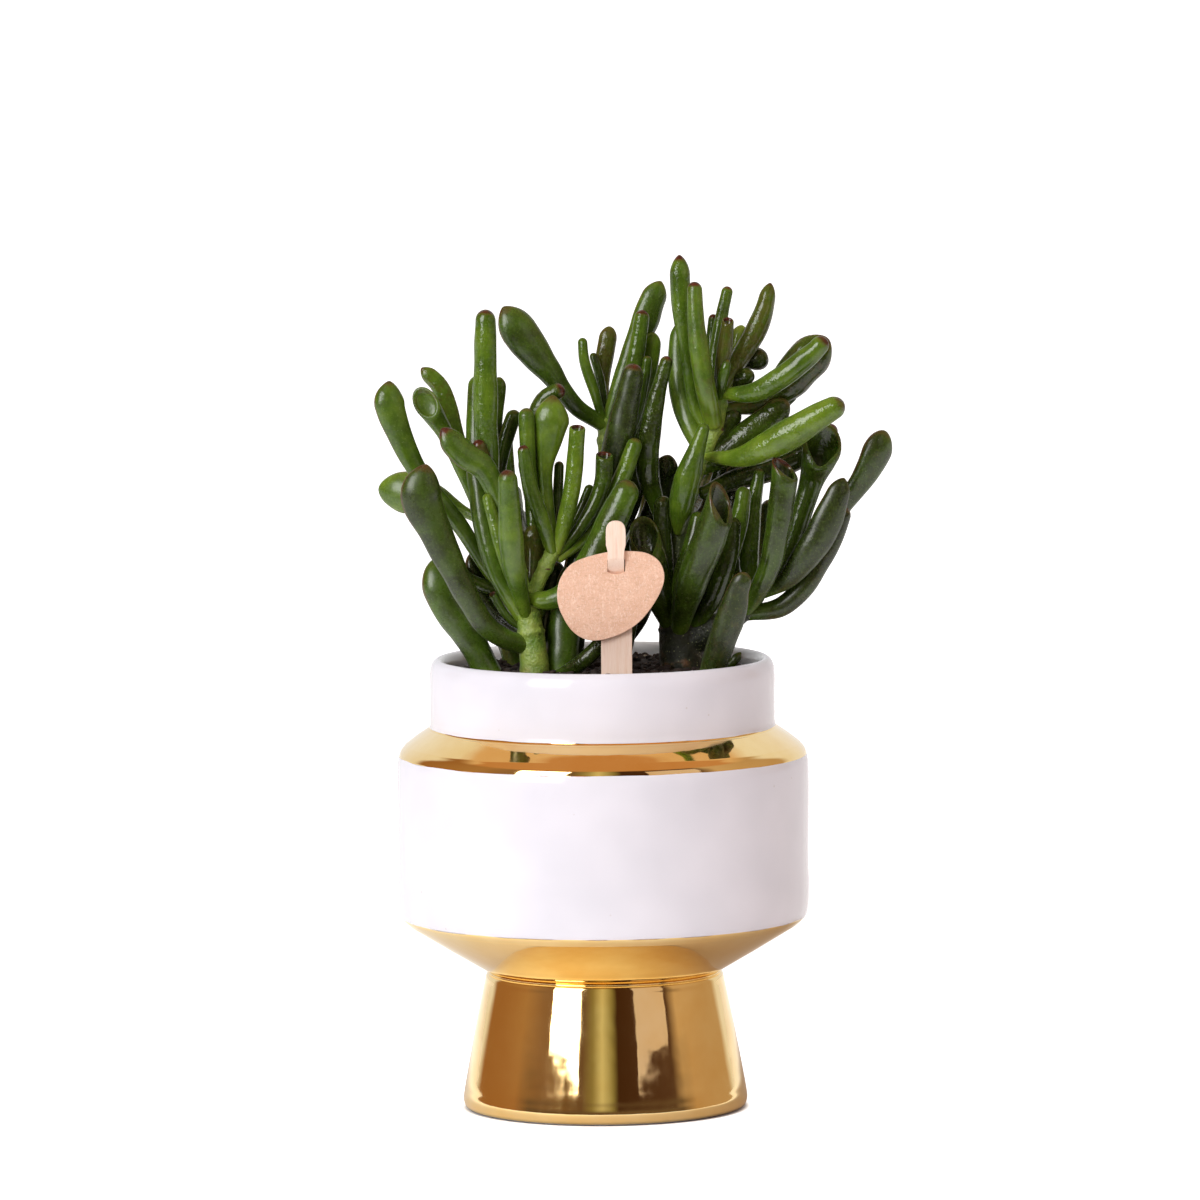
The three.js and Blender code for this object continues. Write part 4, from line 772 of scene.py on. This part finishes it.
def dense_line(points, steps=24):
    """The centripetal Catmull-Rom curve through points, as many short steps."""
    p = np.array(points, dtype=float)
    p = np.vstack([2 * p[0] - p[1], p, 2 * p[-1] - p[-2]])
    line = [p[1]]
    a, b, c, d = hermite(np.linspace(0, 1, steps + 1)[1:, None])
    for i in range(1, len(p) - 2):
        before, middle, after = [np.sqrt(np.linalg.norm(p[k + 1] - p[k])) for k in (i - 1, i, i + 1)]
        step = (p[i + 1] - p[i]) / middle
        leave = (p[i] - p[i - 1]) / before - (p[i + 1] - p[i - 1]) / (before + middle) + step
        arrive = step - (p[i + 2] - p[i]) / (middle + after) + (p[i + 2] - p[i + 1]) / after
        line.extend(a * p[i] + b * leave * middle + c * p[i + 1] + d * arrive * middle)
    return np.array(line)


class CentreLine:
    """A curve through points that can be read at any share of its length."""

    def __init__(self, points):
        self.line = dense_line(points)
        self.run = np.concatenate([[0], np.cumsum(np.linalg.norm(np.diff(self.line, axis=0), axis=1))])
        self.length = self.run[-1]
        self.slopes = np.gradient(self.line, self.run, axis=0)

    def at(self, share):
        """Place and direction at a share, going straight on beyond either end."""
        inside = np.clip(share, 0, 1) * self.length
        place, slope = [np.array([np.interp(inside, self.run, rows[:, k]) for k in range(3)])
                        for rows in (self.line, self.slopes)]
        slope /= np.linalg.norm(slope)
        return place + slope * (share * self.length - inside), slope


def smooth_value(values, share):
    """A smooth curve through evenly spaced values, read at a share from 0 to 1."""
    at = min(max(share, 0), 1) * (len(values) - 1)
    i = min(int(at), len(values) - 2)
    first, second = values[i], values[i + 1]
    before = values[i - 1] if i > 0 else 2 * first - second
    after = values[i + 2] if i + 2 < len(values) else 2 * second - first
    a, b, c, d = hermite(at - i)
    return a * first + b * ((second - before) / 2) + c * second + d * ((after - first) / 2)


def square_to(tangent, way):
    """The unit direction nearest to way that is square to tangent."""
    way = way - tangent * way.dot(tangent)
    return way / np.linalg.norm(way)


def turns(sides):
    """Angles once round, in radians."""
    return np.arange(sides) / sides * 2 * math.pi


def tube_faces(rings, sides):
    """Faces of a tube: rings of vertices in order, then a pole vertex for each end."""
    faces = []
    for ring in range(rings - 1):
        for side in range(sides):
            a = ring * sides + side
            b = ring * sides + (side + 1) % sides
            faces.append((a, b, b + sides, a + sides))
    last, pole = (rings - 1) * sides, rings * sides
    faces.extend((pole, (side + 1) % sides, side) for side in range(sides))
    faces.extend((pole + 1, last + side, last + (side + 1) % sides) for side in range(sides))
    return faces


# Leaves

ACROSS, DEEP = np.cos(turns(LEAF_SIDES)), np.sin(turns(LEAF_SIDES))


def leaf_stations(shape, length):
    """Rings of a leaf as (share of the length, half width, 1 inside a cup)."""
    root, end = shape.widths[0] / 2, shape.widths[-1] / 2
    dome = shape.kind.dome * end / length
    rings = []
    for step in range(1, ROOT_STATIONS + 1):
        rise = math.cos(step / (ROOT_STATIONS + 1) * math.pi / 2)
        rings.append((-0.7 * rise * root / length, root * math.sqrt(1 - rise * rise), 0))
    for step in range(BODY_STATIONS + 1):
        share = step / BODY_STATIONS
        rings.append((share * (1 - dome), smooth_value(shape.widths, share) / 2, 0))
    if shape.kind is CUP:
        return rings + cup_stations(shape, end, length)
    first, second = shape.kind.end
    for step in range(1, DOME_STATIONS + 1):
        rise = math.sin(step / (DOME_STATIONS + 1) * math.pi / 2)
        rings.append((1 - dome + rise * dome, end * (1 - rise**first) ** second, 0))
    return rings


def cup_stations(shape, end, length):
    """The rounded lip of a cup and its bowl."""
    lip = min(0.9, end * 0.25)
    rings = []
    for degrees in (30, 60, 90, 120, 150):
        turn = math.radians(degrees)
        rings.append((1 + lip / 2 * math.sin(turn) / length, end - lip / 2 * (1 - math.cos(turn)), 0))
    for step in range(1, BOWL_STATIONS + 1):
        sink = step / (BOWL_STATIONS + 1)
        rings.append((1 - shape.depth * end * sink / length, (end - lip) * (1 - sink**2.2) ** 0.6, 1))
    return rings


def oval_ring(shape, share, half, run, seed, front, tangent):
    """A ring's offsets from the path: an oval, flatter at the head, a little swollen and dented."""
    roll = math.radians(shape.turn)
    deep_way = math.cos(roll) * front + math.sin(roll) * np.cross(tangent, front)
    wide_way = np.cross(deep_way, tangent)
    flat = ROOT_FLAT + (shape.kind.flat - ROOT_FLAT) * float(smoothstep(0.25, 0.75, share))
    swell = 1 + 0.06 * noise.noise(Vector((run / 9, seed, 0)))
    dents = np.array([1 + 0.045 * noise.noise(Vector((a * 0.8, d * 0.8 + seed, run / 6)))
                      for a, d in zip(ACROSS, DEEP)])[:, None]
    return (wide_way * ACROSS[:, None] + deep_way * DEEP[:, None] * flat) * half * swell * dents


def cut_ring(shape, offset, share, half, inside, front, tangent):
    """Leans a cup's ring to its sloping mouth, whose low side narrows on a deep cup. Also gives how far
    each vertex lies to the low side, in half widths."""
    slope, facing = shape.cut[0], math.radians(shape.cut[1])
    way = math.cos(facing) * front - math.sin(facing) * np.cross(front, tangent)
    low = offset @ way / half
    if share > 1 or inside:
        beside = np.cross(way, tangent)
        pinch = 0.5 * smoothstep(-0.3, 1, low) * min(slope, 1) * (shape.depth > 1)
        offset = offset - beside * (offset @ beside * pinch)[:, None]
    lean = 1.0 if inside else float(smoothstep(0.7, 1, share))
    return offset - tangent * (offset @ way)[:, None] * slope * lean, low


def ring_values(shape, share, from_tip, inside, low):
    """What the material reads on a ring: the share from the stem, redness, brown margin and green, with
    painted shade inside a deep cup.
    """
    if shape.kind is CUP:
        slope = shape.cut[0]
        red = 0.8 * float(smoothstep(1, 0.3, abs(from_tip))) * smoothstep(slope * 1.2, slope - 1, low + 0.2)
    else:
        reach = 0.4 + 0.9 * shape.flush * (shape.widths[-1] / 2)
        red = float(smoothstep(reach, reach * 0.15, from_tip))
    margin = np.abs(ACROSS) ** 16 * float(smoothstep(0.45, 0.85, share)) * (shape.kind.flat < 0.7)
    # The tone drops inside a deep cup: painted shade in the hollow.
    return {"along": min(max(share, 0), 1), "flush": np.maximum(shape.flush * red, shape.blush),
            "margin": margin, "tone": shape.tone - 0.12 * inside * (shape.depth > 1)}


def leaf_mesh(shape):
    line = CentreLine(shape.path)
    seed = random.Random(shape.name).uniform(0, 900)
    rings = leaf_stations(shape, line.length)
    front, places = FRONT, []
    values = {"along": [], "flush": [], "margin": [], "tone": []}
    for share, half, inside in rings:
        place, tangent = line.at(share)
        front = square_to(tangent, 0.4 * front + 0.6 * FRONT)
        offset = oval_ring(shape, share, half, share * line.length, seed, front, tangent)
        low = 0
        if shape.kind is CUP:
            offset, low = cut_ring(shape, offset, share, half, inside, front, tangent)
        places.extend(place + offset)
        ring = ring_values(shape, share, (1 - share) * line.length, inside, low)
        for name, value in ring.items():
            values[name].extend(np.broadcast_to(value, LEAF_SIDES))
    for column in values.values():
        column.extend((column[0], column[-1]))
    values["margin"][-1] = 0
    poles = [np.mean(places[:LEAF_SIDES], axis=0), np.mean(places[-LEAF_SIDES:], axis=0)]
    mesh = mesh_from(places + poles, tube_faces(len(rings), LEAF_SIDES))
    set_values(mesh, **values, satin=[shape.satin] * len(mesh.vertices))
    return mesh


def add_leaves(material):
    slots = {row["node"]: row["material_slot"] for row in frame["record"]["subparts"]}
    for shape in CAD_LEAVES:
        new_skin(shape.name, leaf_mesh(shape), slots[shape.name], material)
    for shape in SMALL_LEAVES:
        new_piece(shape.name, leaf_mesh(shape), "dark_leaf" if shape.tone < 0.4 else "green_leaf", material)


# Stems

def limb_tube(shape, sides=24):
    line = CentreLine(shape.path)
    count = max(8, int(line.length / 1.5))
    vertices = []
    for step in range(count + 1):
        share = step / count
        place, tangent = line.at(share)
        front = square_to(tangent, FRONT)
        side = np.cross(front, tangent)
        half = smooth_value(shape.radii, share)
        vertices.extend(place + half * (math.cos(a) * side + math.sin(a) * front) for a in turns(sides))
    for end, sign in ((0, -1), (1, 1)):
        place, tangent = line.at(end)
        vertices.append(place + tangent * sign * shape.radii[-1] * 0.6)
    return vertices, tube_faces(count + 1, sides)


def add_stem(node, limbs, material, slot):
    """One stem: its limbs are fused by a voxel remesh, then ringed with scars and roughened."""
    vertices, faces = [], []
    for shape in limbs:
        more, more_faces = limb_tube(shape)
        faces.extend(tuple(i + len(vertices) for i in face) for face in more_faces)
        vertices.extend(more)
    tubes = add_object(node + "_tubes", mesh_from(vertices, faces))
    remesh = tubes.modifiers.new("fuse", "REMESH")
    remesh.mode = "VOXEL"
    remesh.voxel_size = 0.55 * MM
    remesh.use_smooth_shade = True
    tubes.modifiers.new("soften", "SMOOTH").iterations = 4
    mesh = baked_mesh(tubes)
    scar_stem(mesh, limbs)
    new_skin(node, mesh, slot, material)


def noise_at(places, scale, shift=0):
    return np.array([noise.noise(Vector(p * scale + shift)) for p in places])


def scar_stem(mesh, limbs):
    """Raises a rough ring at each leaf scar, with bark round it and near the soil."""
    places = np.array([v.co for v in mesh.vertices]) / MM
    normals = np.array([v.normal for v in mesh.vertices])
    bark = smoothstep(143, 136, places[:, 2]) * 0.5
    lift = np.zeros(len(places))
    wave = noise_at(places, 0.35) * 0.9
    broken = smoothstep(0.02, 0.3, noise_at(places, 0.6, 9))
    for shape in limbs:
        line = CentreLine(shape.path)
        for share in shape.scars:
            place, tangent = line.at(share)
            away = places - place
            axial = away @ tangent
            near = np.linalg.norm(away, axis=1) < smooth_value(shape.radii, share) * 1.7
            lift += 0.45 * (np.exp(-(((axial + wave) / 0.8) ** 2)) * near)
            bark = np.maximum(bark, np.exp(-(((axial + wave - 0.4) / 0.5) ** 2)) * near * broken)
    rough = noise_at(places, 0.5) + 0.4 * noise_at(places, 1.3)
    places += normals * (lift + 0.16 * rough)[:, None]
    mesh.vertices.foreach_set("co", (places * MM).ravel())
    set_values(mesh, bark=bark)
    mesh.shade_smooth()
    mesh.update()


# Pots and soil

def curve_2d(points, steps=8):
    """A smooth curve through flat points, as pairs."""
    return [(r, z) for r, _, z in dense_line([(r, 0, z) for r, z in points], steps)]


def lathed_mesh(profile, sides, relief=None):
    """A closed mesh turned from (radius, height) pairs. relief gives a vertex's height from its ring,
    radius, angle and height."""
    def vertex(ring, radius, angle):
        height = profile[ring][1]
        if relief:
            height = relief(ring, radius, angle, height)
        return radius * math.cos(angle), radius * math.sin(angle), height

    vertices = [vertex(ring, radius, angle) for ring, (radius, _) in enumerate(profile)
                for angle in turns(sides)]
    vertices += [vertex(0, 0, 0), vertex(len(profile) - 1, 0, 0)]
    return mesh_from(vertices, tube_faces(len(profile), sides))


def cover_pot_profile():
    foot = curve_2d([(41.2, 0), (42.7, 0.7), (43.4, 2.6), (43, 6.4), (42.2, 11), (41.2, 16.5), (39.8, 24),
                     (38.2, 32), (36.8, 38.7), (36.3, 41), (35.9, 41.5), (35.1, 41.7)])
    edge = curve_2d([(59.8, 56.8), (61.8, 58.9), (62.5, 61.5), (62.8, 68), (62.65, 77), (62.8, 90),
                     (62.8, 104.5), (62.5, 107.5), (61.7, 110.1), (60.2, 111.9)])
    shoulder = curve_2d([(60.2, 111.9), (57.06, 114.28), (53.8, 116.5)])[1:-1]
    neck = curve_2d([(53.8, 116.5), (53, 117.1), (52.65, 118.4), (52.6, 121), (52.6, 127), (52.6, 133.6),
                     (52.2, 136), (51.4, 137.4), (50.2, 138.1), (49, 137.6), (48.2, 136.4), (47.8, 134),
                     (47.8, 128), (47.8, 115.5)])
    inside = [(58, 108), (58, 64), (31.2, 45), (30.8, 43.4), (30.8, 41), (37.9, 10), (33.5, 5), (4, 5)]
    return [(4, 0), (24, 0), (40, 0), *foot, (35.4, 42.1), (36, 42.45), (48, 49.5), *edge, *shoulder, *neck,
            *inside]


def with_heights(profile, heights):
    """The profile's outer run with a ring added at each height."""
    made = []
    for (r0, z0), (r1, z1) in zip(profile, profile[1:]):
        made.append((r0, z0))
        for height in heights:
            if r0 > 50 and z0 < height < z1:
                share = (height - z0) / (z1 - z0)
                made.append((r0 + (r1 - r0) * share, height))
    return [*made, profile[-1]]


def add_cover_pot(glaze, gold, inner_glaze):
    borders = (CONE_GOLD_TOP, SHOULDER_GOLD_BOTTOM, SHOULDER_GOLD_TOP)
    profile = with_heights(cover_pot_profile(), borders)
    top = max(range(len(profile)), key=lambda i: profile[i][1])

    def wavy_border(ring, radius, angle, height):
        if ring < top and height in borders:
            height += 0.22 * noise.noise(Vector((math.cos(angle) * 6, math.sin(angle) * 6, height)))
        return height

    mesh = lathed_mesh(profile, POT_SIDES, wavy_border)
    new_skin("cover_pot", mesh, "glaze", glaze, gold, inner_glaze)
    # The inside run takes the lighter glaze: painted light where the leaves shade the inner wall.
    for face in mesh.polygons[(top + 3) * POT_SIDES:]:
        face.material_index = 2
    for ring in range(top):
        middle = (profile[ring][1] + profile[ring + 1][1]) / 2
        gilded = 0.5 < middle < CONE_GOLD_TOP or SHOULDER_GOLD_BOTTOM < middle < SHOULDER_GOLD_TOP
        if gilded and profile[ring][0] > 30:
            for face in mesh.polygons[ring * POT_SIDES:(ring + 1) * POT_SIDES]:
                face.material_index = 1


def nursery_radius(height):
    share = (height - NURSERY_BOTTOM) / (NURSERY_TOP - NURSERY_BOTTOM)
    return NURSERY_BASE_RADIUS + share * (NURSERY_RIM_RADIUS - 0.8 - NURSERY_BASE_RADIUS)


def add_nursery_pot(material):
    lip = NURSERY_TOP - 5
    floor = NURSERY_BOTTOM + NURSERY_WALL
    rim = NURSERY_RIM_RADIUS
    profile = [(5, NURSERY_BOTTOM), (nursery_radius(NURSERY_BOTTOM) - 1.5, NURSERY_BOTTOM)]
    profile += [(nursery_radius(z), z) for z in (NURSERY_BOTTOM + 1.5, 60, 80, 100, lip - 0.3)]
    profile += [(nursery_radius(lip) + 0.3, lip), (rim - 0.2, lip + 0.1), (rim, lip + 0.4)]
    profile += [(rim, NURSERY_TOP - 0.3), (rim - 0.2, NURSERY_TOP)]
    profile += [(nursery_radius(z) - NURSERY_WALL, z) for z in (NURSERY_TOP, 125, 100, 80, 60, floor + 1)]
    profile += [(nursery_radius(floor) - 2.5, floor), (5, floor)]
    new_skin("nursery_pot", lathed_mesh(profile, NURSERY_SIDES), "black_plastic", material)


def soil_height(x, y):
    """Height of the bumpy surface, lower at the pot's edge."""
    p = Vector((x, y, 0))
    bumps = 0.9 * noise.noise(p * 0.12) + 0.7 * noise.noise(p * 0.37 + Vector((7, 0, 0)))
    bumps += 0.35 * noise.noise(p * 0.9)
    edge = float(smoothstep(38, 43.6, math.hypot(x, y)))
    return SOIL_TOP - 0.2 + bumps * (1 - 0.6 * edge) - 0.8 * edge


def add_soil(peat, pale):
    inset = NURSERY_WALL + 0.5
    base = NURSERY_BOTTOM + 1.3
    wide = nursery_radius(SOIL_EDGE) - inset
    profile = [(nursery_radius(base) - inset - 2, base)]
    profile += [(nursery_radius(z) - inset, z) for z in (NURSERY_BOTTOM + 4, 70, 90, 110, 128, SOIL_EDGE)]
    profile += [(wide * (1 - (step + 0.4) / (SOIL_RINGS + 0.4)), None) for step in range(SOIL_RINGS)]

    def bumpy_top(ring, radius, angle, height):
        if height is None:
            height = soil_height(radius * math.cos(angle), radius * math.sin(angle))
        return height

    new_skin("soil", lathed_mesh(profile, SOIL_SIDES, bumpy_top), "soil", peat)
    add_crumbs("soil_crumbs", 620, (0.5, 1.5), peat, 3)
    add_crumbs("pale_crumbs", 70, (0.35, 0.8), pale, 4)


def add_crumbs(name, count, sizes, material, seed):
    """Lumps of soil scattered over the surface as one piece."""
    pick = random.Random(seed)
    whole = bmesh.new()
    for _ in range(count):
        radius = 43 * math.sqrt(pick.random())
        angle = pick.uniform(0, 2 * math.pi)
        x, y = radius * math.cos(angle), radius * math.sin(angle)
        size = pick.uniform(*sizes)
        lump = bmesh.ops.create_icosphere(whole, subdivisions=2, radius=size * MM)["verts"]
        offset = Vector((pick.uniform(0, 90), 0, 0))
        squash = Matrix.Diagonal((pick.uniform(0.7, 1.4), pick.uniform(0.7, 1.2), pick.uniform(0.5, 0.9)))
        spin = Matrix.Rotation(pick.uniform(0, 6.3), 3, "Z")
        spin = spin @ Matrix.Rotation(pick.uniform(-0.5, 0.5), 3, "X")
        centre = Vector((x, y, soil_height(x, y) + size * 0.25)) * MM
        for vertex in lump:
            rough = 1 + 0.35 * noise.noise(vertex.co / (size * MM) * 1.6 + offset)
            vertex.co = spin @ (squash @ (vertex.co * rough)) + centre
    mesh = bpy.data.meshes.new(name)
    whole.to_mesh(mesh)
    whole.free()
    mesh.shade_smooth()
    new_piece(name, mesh, "soil", material)


# Stake and label

def plate_mesh(outlines, thickness, y, bevel):
    """A flat board in the XZ plane from closed outlines: the first is its edge, the rest are holes."""
    data = bpy.data.curves.new("outline", "CURVE")
    data.dimensions = "2D"
    data.fill_mode = "BOTH"
    data.extrude = (thickness / 2 - bevel) * MM
    data.bevel_depth = bevel * MM
    data.bevel_resolution = 3
    data.offset = -bevel * MM
    for outline in outlines:
        spline = data.splines.new("POLY")
        spline.points.add(len(outline) - 1)
        for point, (x, z) in zip(spline.points, outline):
            point.co = (x * MM, z * MM, 0, 1)
        spline.use_cyclic_u = True
    mesh = baked_mesh(add_object("outline", data))
    mesh.transform(Matrix.Rotation(math.pi / 2, 4, "X"))
    mesh.transform(Matrix.Translation((0, y * MM, 0)))
    mesh.materials.clear()
    return mesh


def round_corner(start, corner, finish, steps=8):
    """Points of the curve from start to finish that the corner pulls out."""
    made = []
    for step in range(steps + 1):
        t = step / steps
        made.append(tuple((1 - t) ** 2 * a + 2 * t * (1 - t) * b + t * t * c
                          for a, b, c in zip(start, corner, finish)))
    return made


def stake_outline():
    """The whole stake as one outline, from its point up over the head and back."""
    half, neck, head = SHANK_WIDTH / 2, NECK_WIDTH / 2, HEAD_WIDTH / 2
    right = [(1, STAKE_BOTTOM), (half, STAKE_BOTTOM + 14)]
    right += round_corner((half, SHANK_TOP - 3), (half, SHANK_TOP), (neck, SHANK_TOP + 1))
    right += round_corner((neck, 172.8), (neck + 0.1, 174), (head, 175.2))
    right += round_corner((head, 179), (head, HEAD_TOP), (0, HEAD_TOP))
    left = [(-x, z) for x, z in reversed(right[:-1])]
    return [(STAKE_X + x, z) for x, z in right + left]


def add_stake(wood):
    """The stake stands behind the board below its slot and in front of it above."""
    mesh = plate_mesh([stake_outline()], STAKE_THICKNESS, 0, 0.2)
    cut_across(mesh)
    for vertex in mesh.vertices:
        forward = float(smoothstep(SLOT_HEIGHT - 3.4, SLOT_HEIGHT + 3.4, vertex.co.z / MM))
        vertex.co.y += (SHANK_Y + forward * (HEAD_Y - SHANK_Y)) * MM
    mesh.shade_flat()
    new_skin("label_stake", mesh, "stake_wood", wood)


def cut_across(mesh):
    """Level cuts near the slot, so that the plate can bend there."""
    plate = bmesh.new()
    plate.from_mesh(mesh)
    for step in range(STAKE_CUTS):
        height = SLOT_HEIGHT - 5 + 10 * step / (STAKE_CUTS - 1)
        everything = plate.verts[:] + plate.edges[:] + plate.faces[:]
        bmesh.ops.bisect_plane(plate, geom=everything, plane_co=(0, 0, height * MM), plane_no=(0, 0, 1))
    plate.to_mesh(mesh)
    plate.free()


def label_outline():
    points = [(-13.4, 158.8), (-12.6, 164.6), (-9, 169.4), (1.2, 172.8), (7.6, 173.2), (14, 172.4),
              (17.6, 169.8), (19, 165.6), (17.6, 160.4), (11.4, 151.8), (4.4, 147.6), (-3.4, 146.2),
              (-8.4, 148.6), (-12, 154)]
    made = []
    for i in range(len(points)):
        four = [points[(i + k) % len(points)] for k in (-1, 0, 1, 2)]
        made.extend(curve_2d(four, 10)[10:20])
    return made


def slot_outline():
    """A slot with a straight top and a lower edge that curves like a smile."""
    half = NECK_WIDTH / 2 + 0.15
    x = STAKE_X + 0.1
    top = SLOT_HEIGHT + 2.6
    bottom = SLOT_HEIGHT - 2
    left = round_corner((x - half, top - 0.5), (x - half, top), (x - half + 0.5, top), 4)
    right = round_corner((x + half - 0.5, top), (x + half, top), (x + half, top - 0.5), 4)
    smile = round_corner((x + half, bottom + 0.8), (x, bottom - 0.6), (x - half, bottom + 0.8), 10)
    return left + right + smile


def add_label(board):
    mesh = plate_mesh([label_outline(), slot_outline()], LABEL_THICKNESS, LABEL_Y, 0.22)
    new_skin("label_board", mesh, "label_board", board)


# Assembly

add_camera()
add_studio()
add_room()
add_floor()
bpy.context.scene.view_settings.view_transform = "Standard"
# The inside wall gets a lighter copy of the white glaze: painted light that offsets the shade the leaves cast
# into the pot.
add_cover_pot(glaze_material("white_glaze", "#d7d5dd", "#e2dfe7"), gold_material(),
              glaze_material("inner_glaze", "#f1f0f4", "#f8f7fa"))
add_nursery_pot(plastic_material())
add_soil(soil_material(), perlite_material())
add_stake(wood_material())
add_label(board_material())
GREEN_STEM = stem_material("green_stem", 95, 130, 0.05)
DARK_STEM = stem_material("dark_stem", 160, 205, 0.3)
add_stem("left_stem", LEFT_STEM, GREEN_STEM, "green_stem")
add_stem("middle_stem", MIDDLE_STEM, DARK_STEM, "dark_stem")
add_stem("right_stem", RIGHT_STEM, DARK_STEM, "dark_stem")
add_leaves(leaf_material())
